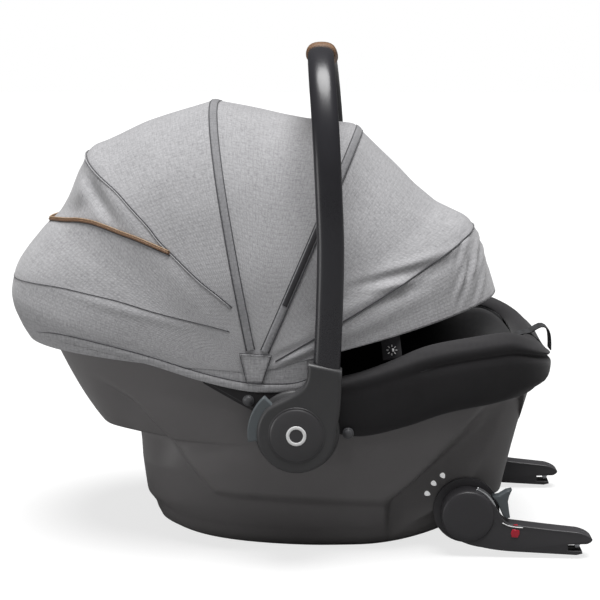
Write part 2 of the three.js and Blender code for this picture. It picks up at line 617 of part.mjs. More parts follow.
// ---------------------------------------------------------------- head support
function headSupport() {
  const shape = new THREE.Shape();
  shape.moveTo(-70, -52);
  shape.bezierCurveTo(-84, -20, -80, 44, -46, 70);
  shape.bezierCurveTo(-20, 84, 20, 84, 46, 70);
  shape.bezierCurveTo(80, 44, 84, -20, 70, -52);
  shape.bezierCurveTo(62, -60, 50, -58, 44, -48);
  shape.bezierCurveTo(30, -40, -30, -40, -44, -48);
  shape.bezierCurveTo(-50, -58, -62, -60, -70, -52);
  const base = new THREE.ExtrudeGeometry(shape, { depth: 14, bevelEnabled: false, curveSegments: 6 });
  const wings = new THREE.Shape();
  wings.moveTo(-70, -50);
  wings.bezierCurveTo(-84, -20, -80, 44, -46, 69);
  wings.bezierCurveTo(-20, 83, 20, 83, 46, 69);
  wings.bezierCurveTo(80, 44, 84, -20, 70, -50);
  wings.bezierCurveTo(64, -58, 54, -54, 52, -44);
  wings.bezierCurveTo(62, -10, 58, 34, 34, 52);
  wings.bezierCurveTo(16, 62, -16, 62, -34, 52);
  wings.bezierCurveTo(-58, 34, -62, -10, -52, -44);
  wings.bezierCurveTo(-54, -54, -64, -58, -70, -50);
  const raised = new THREE.ExtrudeGeometry(wings, { depth: 52, bevelEnabled: false, curveSegments: 6 });
  const whole = toGeometry(toSolid(base).add(toSolid(raised)));
  whole.scale(1.2, 0.72, 1);
  const [cx, lift] = [-236, 1];
  const [ux, uz] = [-0.906, 0.423];   // up the back
  whole.applyMatrix4(new THREE.Matrix4().makeBasis(
    new THREE.Vector3(0, 1, 0),
    new THREE.Vector3(ux, 0, uz),
    new THREE.Vector3(uz, 0, -ux),
  ));
  const [px, pz] = onBack(cx, lift);
  return toSolid(whole.translate(px, 0, pz));
}

// ---------------------------------------------------------------- assembly
const finish = (color, roughness, metalness = 0) => new THREE.MeshStandardMaterial({ color, roughness, metalness });
const LOOKS = {
  shell: finish('#3a393c', 0.5),
  foam: finish('#2b2b2d', 0.95),
  black_cloth: finish('#1d1c1f', 0.95),
  grey_cloth: finish('#8c8c90', 0.95),
  hub: finish('#333336', 0.45),
  tube: finish('#2d2c30', 0.35, 0.3),
  leather: finish('#a4714a', 0.6),
  button: finish('#5c6266', 0.5),
  steel: finish('#8d9094', 0.35, 0.9),
  webbing: finish('#17171a', 0.85),
  red: finish('#b3122e', 0.4),
  bow: finish('#202023', 0.5),
};

const seat = new THREE.Group();
const place = (parent, name, look, form) => {
  const geometry = form.isBufferGeometry ? form : toGeometry(form);
  const mesh = new THREE.Mesh(geometry, LOOKS[look]);
  mesh.name = name;
  parent.add(mesh);
  return mesh;
};
// The form is made on the +Y side; the other side is its mirror image.
const placePair = (parent, name, look, form) => {
  const geometry = form.isBufferGeometry ? form : toGeometry(form);
  place(parent, `${name}_left`, look, geometry);
  place(parent, `${name}_right`, look, mirrored(geometry));
};

place(seat, 'outer_shell', 'shell', outerShell());
place(seat, 'foam_liner', 'foam', foamLiner());
place(seat, 'seat_pad', 'black_cloth', seatPad());
place(seat, 'rim_cover', 'black_cloth', rimCover());

const STUD = { r: 6.3, depth: 4 };
[['rear', -108, 200], ['front', 9, 160]].forEach(([name, x, z]) => {
  const depth = (rimHeight(x) - z) / (rimHeight(x) - STEP_Z);
  const y = wallAt(depth).b + COVER.clear + COVER.thick + 0.6;
  placePair(seat, `cover_stud_${name}`, 'button', cylinderY(x, z, STUD.r, y, y + STUD.depth, 24));
});

placePair(seat, 'handle_axle', 'steel', cylinderY(HANDLE.x, HANDLE.z, 7, 168, 217));
placePair(seat, 'hood_mount', 'hub', hoodMount());
placePair(seat, 'isofix_boss', 'hub', toSolid(cylinderY(ISOFIX.x, ISOFIX.z, 39, ISOFIX.pocket + 0.3, ARM0 - 0.4, 40))
  .subtract(toSolid(cylinderY(ISOFIX.x, ISOFIX.z, ISOFIX.tube + GAP, 100, 200))));

const handle = new THREE.Group();
seat.add(handle);
place(handle, 'handle_bow', 'tube', handleBow());
place(handle, 'handle_grip', 'leather', handleGrip());
placePair(handle, 'handle_hub', 'hub', handleHub());
placePair(handle, 'hub_cap', 'hub', cylinderY(HANDLE.x, HANDLE.z, HUB.cap, HUB.y1 - 3.6, HUB.y1 + 1.4, 40));
placePair(handle, 'handle_button', 'button', ringSector(BUTTON.r0, BUTTON.r1, BUTTON.a0, BUTTON.a1, BUTTON.y0,
  BUTTON.y1));

const hood = new THREE.Group();
seat.add(hood);
const SEAM_GAP = 0.12;   // degrees between neighbouring cloth panels
place(hood, 'hood_rear_cover', 'grey_cloth', hoodPanel(REAR_HEM, REAR_SEAM + SEAM_GAP, 8));
const seams = [REAR_SEAM, ...BOW_ANGLES];
const panelSteps = [2, 2, 1, 5];
seams.slice(0, -1).forEach((from, i) => {
  place(hood, `hood_panel_${i + 1}`, 'grey_cloth', hoodPanel(from - SEAM_GAP, seams[i + 1] + SEAM_GAP, panelSteps[i]));
});
place(hood, 'hood_visor', 'grey_cloth', hoodPanel(BOW_ANGLES[3] - SEAM_GAP, FRONT_HEM, 4));
BOW_ANGLES.forEach((_, i) => place(hood, `hood_bow_${i + 1}`, 'bow', hoodBow(i)));

const connectors = new THREE.Group();
seat.add(connectors);
place(connectors, 'isofix_cross_tube', 'steel', cylinderY(ISOFIX.x, ISOFIX.z, ISOFIX.tube, -(ARM1 - 3.5), ARM1 - 3.5));
placePair(connectors, 'isofix_arm', 'hub', isofixArm());
placePair(connectors, 'isofix_fork', 'steel', latchFork());
placePair(connectors, 'isofix_hook', 'steel', latchHook());
placePair(connectors, 'isofix_lever', 'button', releaseLever());
placePair(connectors, 'isofix_indicator', 'red', prism([[201, 31.5], [207, 31.5], [207, 39.5], [201, 39.5]],
  ARM1 - 3.1, ARM1 - 0.4));

place(seat, 'head_support', 'black_cloth', headSupport());
placePair(seat, 'shoulder_strap', 'webbing', strap(SHOULDER, 1.8, 18, 56));
placePair(seat, 'chest_pad', 'black_cloth', strap([onBack(-153, 19), onBack(-140, 20), onBack(-100, 19),
  onBack(-58, 17.5)], 8, 12, 62));
place(seat, 'crotch_strap', 'webbing', strap(CROTCH, 1.8, -19, 19));
place(seat, 'harness_buckle', 'hub', buckleBody());
place(seat, 'buckle_button', 'red', buckleButton());
place(seat, 'adjuster_housing', 'hub', adjusterHousing());
place(seat, 'adjuster_button', 'button', adjusterButton());
place(seat, 'adjuster_strap', 'webbing', strap(PULL_STRAP, 1.8, -13, 13));

export default seat;
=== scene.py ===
"""Infant car seat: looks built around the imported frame. Lengths are in millimetres until a mesh is made."""

import math

import bmesh
import bpy
import numpy as np
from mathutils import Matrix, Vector
from mathutils.bvhtree import BVHTree


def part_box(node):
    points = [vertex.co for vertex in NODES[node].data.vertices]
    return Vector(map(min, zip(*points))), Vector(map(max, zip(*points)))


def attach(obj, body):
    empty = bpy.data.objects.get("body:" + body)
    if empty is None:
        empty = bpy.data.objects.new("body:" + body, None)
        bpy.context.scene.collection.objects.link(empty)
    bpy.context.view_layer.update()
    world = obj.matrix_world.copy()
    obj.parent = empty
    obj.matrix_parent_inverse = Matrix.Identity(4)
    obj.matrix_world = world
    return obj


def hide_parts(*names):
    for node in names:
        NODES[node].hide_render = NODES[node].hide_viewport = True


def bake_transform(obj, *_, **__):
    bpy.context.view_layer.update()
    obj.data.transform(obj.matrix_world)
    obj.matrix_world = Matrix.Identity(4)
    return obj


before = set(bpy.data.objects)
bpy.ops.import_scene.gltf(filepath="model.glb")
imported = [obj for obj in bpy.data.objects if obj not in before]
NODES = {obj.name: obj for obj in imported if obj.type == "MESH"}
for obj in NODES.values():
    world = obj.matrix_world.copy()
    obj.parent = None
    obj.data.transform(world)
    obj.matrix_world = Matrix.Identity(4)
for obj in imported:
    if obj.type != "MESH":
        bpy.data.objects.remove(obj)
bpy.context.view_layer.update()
MM = 0.001

# ------------------------------------------------------------------ measures shared with the CAD part
RIM = {"xl": -385, "xr": 240}
HALF_WIDTH = 190
STEP_Z = 140
CREASE_DEPTH = 11
HANDLE = (-48, 163)
HUB_R = 44.5
HOOD = {"x": -95, "z": 228, "half": 196}
BOW_ANGLES = [101.5, 79.6, 66.5, 30]
REAR_SEAM = 131
REAR_HEM = 176.7
FRONT_HEM = 13.5
ISOFIX = {"x": 149, "z": 49, "hub": 30.5, "pocket": 123, "y0": 128.5, "y1": 151.5}
RIM_HEIGHT = [(-385, 304), (-350, 297), (-250, 264), (-150, 229), (-95, 213), (-48, 209), (0, 213),
              (50, 226), (100, 242), (150, 250), (200, 254), (235, 252)]
SEAT_HEIGHT = [(-345, 262), (-330, 252), (-247.5, 213.5), (-165, 175), (-82.5, 136.5), (0, 98), (28, 86),
               (60, 80), (92, 91), (130, 124), (165, 166), (200, 214)]
FOOT_DIP = 24


# ------------------------------------------------------------------ curves
def clamp01(v):
    return np.clip(v, 0, 1)


def smooth(v):
    v = clamp01(v)
    return v * v * (3 - 2 * v)


def mix(a, b, t):
    return a + (b - a) * t


def curve(points):
    """Smooth height through a list of (x, z)."""
    p = np.array(points, float)
    slopes = np.empty(len(p))
    slopes[1:-1] = (p[2:, 1] - p[:-2, 1]) / (p[2:, 0] - p[:-2, 0])
    slopes[0] = (p[1, 1] - p[0, 1]) / (p[1, 0] - p[0, 0])
    slopes[-1] = (p[-1, 1] - p[-2, 1]) / (p[-1, 0] - p[-2, 0])

    def height(x):
        x = np.clip(np.asarray(x, float), p[0, 0], p[-1, 0])
        i = np.clip(np.searchsorted(p[:, 0], x, side="right") - 1, 0, len(p) - 2)
        h = p[i + 1, 0] - p[i, 0]
        t = (x - p[i, 0]) / h
        return (p[i, 1] * (1 + 2 * t) * (1 - t) ** 2 + h * slopes[i] * t * (1 - t) ** 2
                + p[i + 1, 1] * t * t * (3 - 2 * t) + h * slopes[i + 1] * t * t * (t - 1))

    return height


rim_height = curve(RIM_HEIGHT)
seat_z = curve(SEAT_HEIGHT)


def rim_z(x, y):
    return rim_height(x) - FOOT_DIP * smooth((x - 180) / 40) * clamp01(1 - (y / 150) ** 2)


def rocker_z(x):
    return np.where(x < -20, (x + 20) ** 2 / 2300, np.maximum(0, x - 20) ** 2 / 600)


def plan_loop(xl, xr, b, count, head=2.6, foot=5.0, middle=None):
    """Plan outline with evenly spaced points, starting at the foot end and running towards +Y."""
    t = np.linspace(0, 2 * np.pi, 2881)
    c, s = np.cos(t), np.sin(t)
    n = mix(head, foot, smooth((c + 1) / 2))
    k = (np.abs(c) ** n + np.abs(s) ** n) ** (-1 / n)
    middle = (xl + xr) / 2 if middle is None else middle
    x = middle + np.where(c > 0, xr - middle, middle - xl) * c * k
    y = b * s * k * (1 - 0.13 * smooth((x - middle) / (xr - middle)))
    run = np.concatenate([[0], np.cumsum(np.hypot(np.diff(x), np.diff(y)))])
    at = np.linspace(0, run[-1], count + 1)[:-1]
    return np.interp(at, run, x), np.interp(at, run, y)


def wall(depth):
    return RIM["xl"] + 76 * depth + 9 * depth ** 4, RIM["xr"] - 26 * depth, HALF_WIDTH - 14 * depth


def run_along(path):
    """Distance along a path at each of its points."""
    return np.concatenate([[0], np.cumsum(np.linalg.norm(np.diff(path, axis=0), axis=1))])


def fine(points, step):
    """Points on a smooth curve through the given ones, about step apart."""
    p = np.array(points, float)
    run = run_along(p)
    at = np.linspace(0, run[-1], max(2, int(round(run[-1] / step))) + 1)
    columns = [curve(np.column_stack([run, p[:, i]]))(at) for i in range(p.shape[1])]
    return np.column_stack(columns)


def signed_distance(px, pz, polygon):
    """Distance to a closed polygon's edge, positive inside."""
    poly = np.array(polygon, float)
    best = np.full(px.shape, 1e9)
    inside = np.zeros(px.shape, bool)
    for (x0, z0), (x1, z1) in zip(poly, np.roll(poly, -1, axis=0)):
        dx, dz = x1 - x0, z1 - z0
        t = clamp01(((px - x0) * dx + (pz - z0) * dz) / (dx * dx + dz * dz))
        best = np.minimum(best, np.hypot(px - x0 - t * dx, pz - z0 - t * dz))
        crosses = (z0 > pz) != (z1 > pz)
        with np.errstate(divide="ignore", invalid="ignore"):
            at = x0 + (pz - z0) / (z1 - z0 if z1 != z0 else 1e-9) * dx
        inside ^= crosses & (px < at)
    return np.where(inside, best, -best)


def place(name, mesh, look, body="seat", replaces=(), slot=None):
    """Puts a mesh in the scene on its body, with its look; slot is not used."""
    obj = bpy.data.objects.new(name, mesh)
    bpy.context.scene.collection.objects.link(obj)
    mesh.polygons.foreach_set("use_smooth", [True] * len(mesh.polygons))
    mesh.materials.append(look)
    if body:
        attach(obj, body)
    if replaces:
        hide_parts(*replaces)
    return obj


def make(name, points, faces, look, uv=None, **more):
    mesh = bpy.data.meshes.new(name)
    mesh.from_pydata((np.asarray(points, float) * MM).tolist(), [], faces)
    mesh.validate()
    if uv is not None:
        layer = mesh.uv_layers.new(name="weave")
        index = np.empty(len(mesh.loops), int)
        mesh.loops.foreach_get("vertex_index", index)
        layer.data.foreach_set("uv", (np.asarray(uv, float)[index] * MM).astype(np.float32).ravel())
    return place(name, mesh, look, **more)


def grid_faces(rows, columns, close_rows=False, close_columns=False):
    faces = []
    for i in range(rows - (0 if close_rows else 1)):
        for j in range(columns - (0 if close_columns else 1)):
            a, b = i * columns + j, i * columns + (j + 1) % columns
            c, d = ((i + 1) % rows) * columns + (j + 1) % columns, ((i + 1) % rows) * columns + j
            faces.append((a, b, c, d))
    return faces


def grid(name, points, look, close_rows=False, close_columns=False, cap=False, **more):
    rows, columns = points.shape[:2]
    faces = grid_faces(rows, columns, close_rows, close_columns)
    if cap:
        faces.append(tuple(range(columns))[::-1])
        faces.append(tuple(range((rows - 1) * columns, rows * columns)))
    return make(name, points.reshape(-1, 3), faces, look, **more)


def outward(obj):
    """Turns every face to face out."""
    bm = bmesh.new()
    bm.from_mesh(obj.data)
    bmesh.ops.recalc_face_normals(bm, faces=bm.faces)
    bm.to_mesh(obj.data)
    bm.free()
    return obj


def modify(obj, kind, **values):
    modifier = obj.modifiers.new(kind.lower(), kind)
    for key, value in values.items():
        setattr(modifier, key, value)
    return obj


def frames_along(path):
    """Tangents and two normals along a path, turned as little as possible."""
    tangent = np.gradient(path, axis=0)
    tangent /= np.linalg.norm(tangent, axis=1, keepdims=True)
    seed = np.array([0.0, 0, 1]) if abs(tangent[0][2]) < 0.9 else np.array([1.0, 0, 0])
    first = [np.cross(tangent[0], seed)]
    for t in tangent[1:]:
        v = first[-1] - t * np.dot(first[-1], t)
        first.append(v)
    first = np.array(first)
    first /= np.linalg.norm(first, axis=1, keepdims=True)
    return tangent, first, np.cross(tangent, first)


def sweep(name, path, section, look, side=None, closed=False, **more):
    """Sweeps a closed section, given as (across, up) pairs, along a path."""
    path = np.asarray(path, float)
    tangent, first, second = frames_along(path)
    if side is not None:
        side = np.asarray(side, float)
        side = np.broadcast_to(side, path.shape) if side.ndim == 1 else side
        first = side - tangent * np.sum(side * tangent, axis=1, keepdims=True)
        first /= np.linalg.norm(first, axis=1, keepdims=True)
        second = np.cross(tangent, first)
    section = np.asarray(section, float)
    if section.ndim == 2:
        section = np.broadcast_to(section, (len(path),) + section.shape)
    points = (path[:, None] + first[:, None] * section[..., :1] + second[:, None] * section[..., 1:])
    obj = grid(name, points, look, close_rows=closed, close_columns=True, cap=not closed, **more)
    return outward(obj)


def round_section(r, sides=10, flat=1.0):
    t = np.linspace(0, 2 * np.pi, sides, endpoint=False)
    return np.column_stack([r * np.cos(t), r * flat * np.sin(t)])


def oval_section(wide, thick, power=2.5, sides=28):
    t = np.linspace(0, 2 * np.pi, sides, endpoint=False)
    k = (np.abs(np.cos(t)) ** power + np.abs(np.sin(t)) ** power) ** (-1 / power)
    return np.column_stack([wide / 2 * k * np.cos(t), thick / 2 * k * np.sin(t)])


def lathe_y(name, x, z, profile, look, sign=1, sides=64, ring=False, **more):
    """Turns a closed profile of (radius, y) about an axis along Y."""
    profile = np.array(profile, float)
    t = np.linspace(0, 2 * np.pi, sides, endpoint=False)
    points = np.empty((len(profile), sides, 3))
    points[..., 0] = x + profile[:, :1] * np.cos(t)
    points[..., 1] = sign * profile[:, 1:2]
    points[..., 2] = z + profile[:, :1] * np.sin(t)
    return outward(grid(name, points, look, close_rows=ring, close_columns=True, cap=not ring, **more))


def plate(name, outline, y0, y1, look, bevel=2.0, segments=3, sign=1, **more):
    """An outline in X and Z made into a plate between two Y, with rounded edges."""
    bm = bmesh.new()
    lower = [bm.verts.new((x * MM, sign * y0 * MM, z * MM)) for x, z in outline]
    face = bm.faces.new(lower)
    out = bmesh.ops.extrude_face_region(bm, geom=[face])
    moved = [v for v in out["geom"] if isinstance(v, bmesh.types.BMVert)]
    bmesh.ops.translate(bm, verts=moved, vec=(0, sign * (y1 - y0) * MM, 0))
    bmesh.ops.recalc_face_normals(bm, faces=bm.faces)
    rims = [e for e in bm.edges if any(len(f.verts) > 4 for f in e.link_faces)]
    bmesh.ops.bevel(bm, geom=rims, offset=bevel * MM, segments=segments, affect="EDGES", profile=0.5,
                    clamp_overlap=True)
    mesh = bpy.data.meshes.new(name)
    bm.to_mesh(mesh)
    bm.free()
    return modify(place(name, mesh, look, **more), "WEIGHTED_NORMAL", keep_sharp=True)


# ------------------------------------------------------------------ materials
class Look:
    """A node material with short helpers."""

    def __init__(self, name):
        self.material = bpy.data.materials.new(name)
        self.material.use_nodes = True
        self.tree = self.material.node_tree
        self.tree.nodes.clear()
        self.out = self.tree.nodes.new("ShaderNodeOutputMaterial")
        self.bsdf = self.node("ShaderNodeBsdfPrincipled")
        self.tree.links.new(self.bsdf.outputs[0], self.out.inputs[0])
        self.object = self.node("ShaderNodeTexCoord").outputs["Object"]

    def node(self, kind, **settings):
        made = self.tree.nodes.new(kind)
        for key, value in settings.items():
            setattr(made, key, value)
        return made

    def link(self, a, b):
        self.tree.links.new(a, b)
        return b

    def scaled(self, vector, scale):
        m = self.node("ShaderNodeMapping")
        m.inputs["Scale"].default_value = scale if isinstance(scale, tuple) else (scale,) * 3
        self.link(vector, m.inputs["Vector"])
        return m.outputs[0]

    def noise(self, scale, detail=2.0, vector=None, rough=0.5):
        n = self.node("ShaderNodeTexNoise")
        n.inputs["Scale"].default_value = scale
        n.inputs["Detail"].default_value = detail
        n.inputs["Roughness"].default_value = rough
        self.link(vector or self.object, n.inputs["Vector"])
        return n.outputs[0]

    def wave(self, scale, direction, vector=None, distortion=0.0):
        n = self.node("ShaderNodeTexWave", bands_direction=direction)
        n.inputs["Scale"].default_value = scale
        n.inputs["Distortion"].default_value = distortion
        n.inputs["Detail"].default_value = 1.0
        n.inputs["Detail Scale"].default_value = 3.0
        self.link(vector or self.object, n.inputs["Vector"])
        return n.outputs["Fac"]

    def math(self, operation, a, b=None):
        n = self.node("ShaderNodeMath", operation=operation)
        for slot, value in ((0, a), (1, b)):
            if value is None:
                continue
            if isinstance(value, (int, float)):
                n.inputs[slot].default_value = value
            else:
                self.link(value, n.inputs[slot])
        return n.outputs[0]

    def times(self, a, b):
        return self.math("MULTIPLY", a, b)

    def plus(self, a, b):
        return self.math("ADD", a, b)

    def blend(self, a, b, share=0.5):
        """Weighted sum of two patterns."""
        return self.plus(self.times(a, 1 - share), self.times(b, share))

    def ramp(self, fac, stops):
        n = self.node("ShaderNodeValToRGB")
        elements = n.color_ramp.elements
        while len(elements) < len(stops):
            elements.new(0.5)
        for element, (at, colour) in zip(elements, stops):
            element.position = at
            element.color = (*colour, 1)
        self.link(fac, n.inputs[0])
        return n.outputs[0]

    def mixed(self, fac, a, b):
        n = self.node("ShaderNodeMix", data_type="RGBA")
        for slot, value in (("Factor_Float", fac), ("A_Color", a), ("B_Color", b)):
            target = [s for s in n.inputs if s.identifier == slot][0]
            if isinstance(value, (int, float)):
                target.default_value = value
            elif isinstance(value, tuple):
                target.default_value = (*value, 1)
            else:
                self.link(value, target)
        return [s for s in n.outputs if s.identifier == "Result_Color"][0]

    def finish(self, colour, rough, bump=None, **values):
        """Colour source, (source, low, high) of roughness, (source, strength, distance) of bump."""
        self.link(colour, self.bsdf.inputs["Base Color"])
        n = self.node("ShaderNodeMapRange")
        n.inputs["To Min"].default_value = rough[1]
        n.inputs["To Max"].default_value = rough[2]
        self.link(rough[0], n.inputs["Value"])
        self.link(n.outputs[0], self.bsdf.inputs["Roughness"])
        if bump:
            n = self.node("ShaderNodeBump")
            n.inputs["Strength"].default_value = bump[1]
            n.inputs["Distance"].default_value = bump[2] * MM
            self.link(bump[0], n.inputs["Height"])
            self.link(n.outputs[0], self.bsdf.inputs["Normal"])
        for key, value in values.items():
            self.bsdf.inputs[key.replace("_", " ")].default_value = value
        return self.material


YARN_PITCH = 0.9
RIB_PITCH = 1.5


def tint(colour, factor, plus=0.0):
    return tuple(min(1, c * factor + plus) for c in colour)


def woven(name, dark, light, mottle):
    """Plain weave with mixed light and dark yarns: mottle is (yarn, cloud) contrast."""
    look = Look(name)
    coords = look.node("ShaderNodeUVMap", uv_map="weave").outputs[0]
    warp = look.wave(50 / YARN_PITCH, "X", coords, 1.2)
    weft = look.wave(50 / YARN_PITCH, "Y", coords, 1.2)
    cross = look.times(warp, weft)
    thread_a = look.noise(1.0, 3, look.scaled(coords, (900.0, 110.0, 900.0)), 0.7)
    thread_b = look.noise(1.0, 3, look.scaled(coords, (110.0, 900.0, 110.0)), 0.7)
    cloud = look.noise(26, 4, None, 0.6)
    heather = look.blend(thread_a, thread_b)
    heather = look.plus(look.times(look.math("SUBTRACT", heather, 0.5), 2.6 * mottle[0]), 0.5)
    heather = look.plus(heather, look.times(look.math("SUBTRACT", cloud, 0.5), 0.9 * mottle[1]))
    middle = tuple((a + b) / 2 for a, b in zip(dark, light))
    base = look.ramp(heather, [(0.1, dark), (0.5, middle), (0.9, light)])
    shaded = look.mixed(look.times(cross, 0.35), base, tint(middle, 1.35))
    relief = look.plus(cross, look.times(heather, 0.5))
    return look.finish(shaded, (cloud, 0.82, 0.96), (relief, 0.35, 0.35), Sheen_Weight=0.25,
                       Sheen_Roughness=0.45, Specular_IOR_Level=0.25)


def moulded(name, colour, rough=0.5, grain=0.25, edge_pale=0.6, variation=0.25, fine_scale=900, **values):
    """Spark-eroded moulded plastic, lighter on its convex edges."""
    look = Look(name)
    cloud = look.noise(9, 4, None, 0.6)
    grit = look.noise(fine_scale, 3, None, 0.6)
    base = look.ramp(cloud, [(0.3, tint(colour, 1 - variation)), (0.7, tint(colour, 1 + variation))])
    speck = look.mixed(look.times(grit, 0.25), base, tint(colour, 1.8))
    # Lighter towards convex edges, by pointiness.
    edge = look.math("SUBTRACT", look.node("ShaderNodeNewGeometry").outputs["Pointiness"], 0.5)
    pale_edges = look.mixed(look.times(edge, edge_pale), speck, tint(colour, 3, 0.02))
    return look.finish(pale_edges, (look.blend(cloud, grit, 0.4), rough - 0.08, rough + 0.1), (grit, grain, 0.12),
                       Specular_IOR_Level=0.5, **values)


def metal(name, colour, rough=0.32):
    look = Look(name)
    streak = look.noise(1.0, 3, look.scaled(look.object, (14.0, 1200.0, 1200.0)), 0.6)
    base = look.ramp(streak, [(0.2, tint(colour, 0.8)), (0.8, colour)])
    return look.finish(base, (streak, rough - 0.07, rough + 0.12), (streak, 0.08, 0.05), Metallic=1.0)


def leather(name, dark, light):
    look = Look(name)
    v = look.node("ShaderNodeTexVoronoi", feature="DISTANCE_TO_EDGE")
    v.inputs["Scale"].default_value = 620
    look.link(look.object, v.inputs["Vector"])
    cells = look.math("MINIMUM", look.times(v.outputs["Distance"], 4.0), 1.0)
    cloud = look.noise(40, 5, None, 0.6)
    base = look.ramp(cloud, [(0.3, dark), (0.7, light)])
    creased = look.mixed(look.math("SUBTRACT", 1.0, cells), base, tint(dark, 0.55))
    return look.finish(creased, (cloud, 0.45, 0.68), (cells, 0.3, 0.25), Specular_IOR_Level=0.4)


def webbing(name, colour):
    look = Look(name)
    ribs = look.wave(50 / RIB_PITCH, "X", None, 0.4)
    twill = look.wave(50 / RIB_PITCH * 1.4, "DIAGONAL", None, 0.6)
    both = look.blend(ribs, twill, 0.4)
    base = look.ramp(both, [(0.2, tint(colour, 0.6)), (0.8, tint(colour, 1.7))])
    return look.finish(base, (both, 0.6, 0.8), (both, 0.5, 0.4), Sheen_Weight=0.15)


def soft_black(name, colour, bump=0.2, scale=750, sheen=0.3):
    """Fine black knit over foam."""
    look = Look(name)
    knit = look.wave(scale / 20, "X", None, 2.0)
    purl = look.wave(scale / 20, "Z", None, 2.0)
    fuzz = look.noise(scale, 3, None, 0.7)
    cloud = look.noise(18, 4, None, 0.6)
    loops = look.blend(look.times(knit, purl), fuzz)
    base = look.ramp(cloud, [(0.3, tint(colour, 0.8)), (0.7, tint(colour, 1.25))])
    lit = look.mixed(look.times(loops, 0.5), base, tint(colour, 1.9))
    return look.finish(lit, (loops, 0.72, 0.92), (loops, bump, 0.3), Sheen_Weight=sheen, Sheen_Roughness=0.5,
                       Specular_IOR_Level=0.3)


def foam_look(name, colour):
    look = Look(name)
    v = look.node("ShaderNodeTexVoronoi")
    v.inputs["Scale"].default_value = 330
    look.link(look.object, v.inputs["Vector"])
    bead = v.outputs["Distance"]
    base = look.ramp(bead, [(0.1, tint(colour, 1.5)), (0.8, tint(colour, 0.6))])
    return look.finish(base, (bead, 0.75, 0.9), (bead, 0.5, 0.5))


GREY = woven("heather_grey", (0.235, 0.233, 0.241), (0.50, 0.497, 0.51), (1.0, 0.3))
# Darker grey for the channels over the bows.
CHANNEL_GREY = woven("channel_darker_grey", (0.17, 0.17, 0.178), (0.32, 0.318, 0.33), (0.8, 0.6))
SEAM = soft_black("seam_thread", (0.05, 0.05, 0.055))
DARK_TAPE = soft_black("dark_tape", (0.022, 0.021, 0.024))
BLACK = soft_black("black_knit", (0.0165, 0.0155, 0.017), sheen=0.15)
PAD = soft_black("pad_knit", (0.014, 0.0137, 0.0147), scale=620, bump=0.3, sheen=0.12)
SHELL = moulded("shell_plastic", (0.128, 0.122, 0.123), 0.44, 0.22, 0.35, 0.1)
HUB_LOOK = moulded("hub_plastic", (0.042, 0.0415, 0.043), 0.42, 0.15, 0.8, 0.12)
CAP_LOOK = moulded("cap_plastic", (0.045, 0.0435, 0.046), 0.36, 0.1, 0.5, 0.12)
ARM_LOOK = moulded("arm_plastic", (0.034, 0.0325, 0.0355), 0.42, 0.18, 0.8, 0.12)
BUTTON_LOOK = moulded("button_plastic", (0.085, 0.097, 0.104), 0.42, 0.12, 0.8, 0.12)
STUD_LOOK = moulded("stud_plastic", (0.075, 0.075, 0.08), 0.4, 0.12, 0.6)
RED_LOOK = moulded("red_plastic", (0.42, 0.012, 0.03), 0.3, 0.05, 0.2)
# White for printed marks and for the painted highlight by the anchor flag.
WHITE_PRINT_AND_HIGHLIGHT = moulded("white_print_and_highlight", (0.9, 0.9, 0.9), 0.45, 0.06, 0.1, 0.04)
# White print with a painted glow: emission lifts the position marks out of the pocket's shade.
GLOWING_MARK = moulded("mark_print_painted_glow", (0.9, 0.9, 0.9), 0.4, 0.05, 0.1, 0.03, Emission_Color=(1, 1, 1, 1),
               Emission_Strength=0.35)
BOW_LOOK = moulded("bow_nylon", (0.018, 0.018, 0.02), 0.45, 0.2, 0.4)
TUBE_LOOK = moulded("tube_coat", (0.026, 0.0255, 0.0295), 0.28, 0.1, 0.3, 0.1, 1500)
STEEL = metal("zinc_steel", (0.5, 0.51, 0.53))
CHROME = metal("polished_steel", (0.75, 0.76, 0.78), 0.2)
TAN = leather("tan_leather", (0.22, 0.12, 0.065), (0.37, 0.22, 0.13))
# Lighter tan for the grip's stitches and for the painted highlight on the hood's piping.
TAN_STITCH_AND_HIGHLIGHT = leather("tan_stitch_and_highlight", (0.42, 0.27, 0.16), (0.60, 0.42, 0.27))
WEB = webbing("black_webbing", (0.012, 0.012, 0.014))
FOAM = foam_look("liner_foam", (0.02, 0.02, 0.021))


def dress(look, *nodes):
    """Gives CAD nodes that stay in view their look."""
    for node in nodes:
        NODES[node].data.materials.clear()
        NODES[node].data.materials.append(look)


def pair(name):
    return [(f"{name}_left", 1), (f"{name}_right", -1)]


for base, look in (("hood_mount", HUB_LOOK), ("isofix_boss", ARM_LOOK), ("isofix_fork", STEEL),
                   ("isofix_hook", STEEL), ("handle_axle", STEEL), ("isofix_indicator", RED_LOOK)):
    dress(look, *(node for node, _ in pair(base)))
dress(BOW_LOOK, *(f"hood_bow_{i}" for i in range(1, 5)))
dress(STEEL, "isofix_cross_tube")
dress(FOAM, "foam_liner")

# ------------------------------------------------------------------ shell
PANEL = [(-460, 420), (-460, 236), (-279, 208), (-239, 187), (-204, 150), (-178, 116), (-145, 81),
         (-110, 78), (50, 68), (69, 80), (86, 95), (110, 122), (146, 164), (166, 185), (186, 193),
         (300, 201), (300, 420)]
POCKET = [(52, 60), (69, 78), (86, 93), (110, 120), (146, 162), (166, 184), (186, 192), (320, 200),
          (320, -60), (52, -60)]
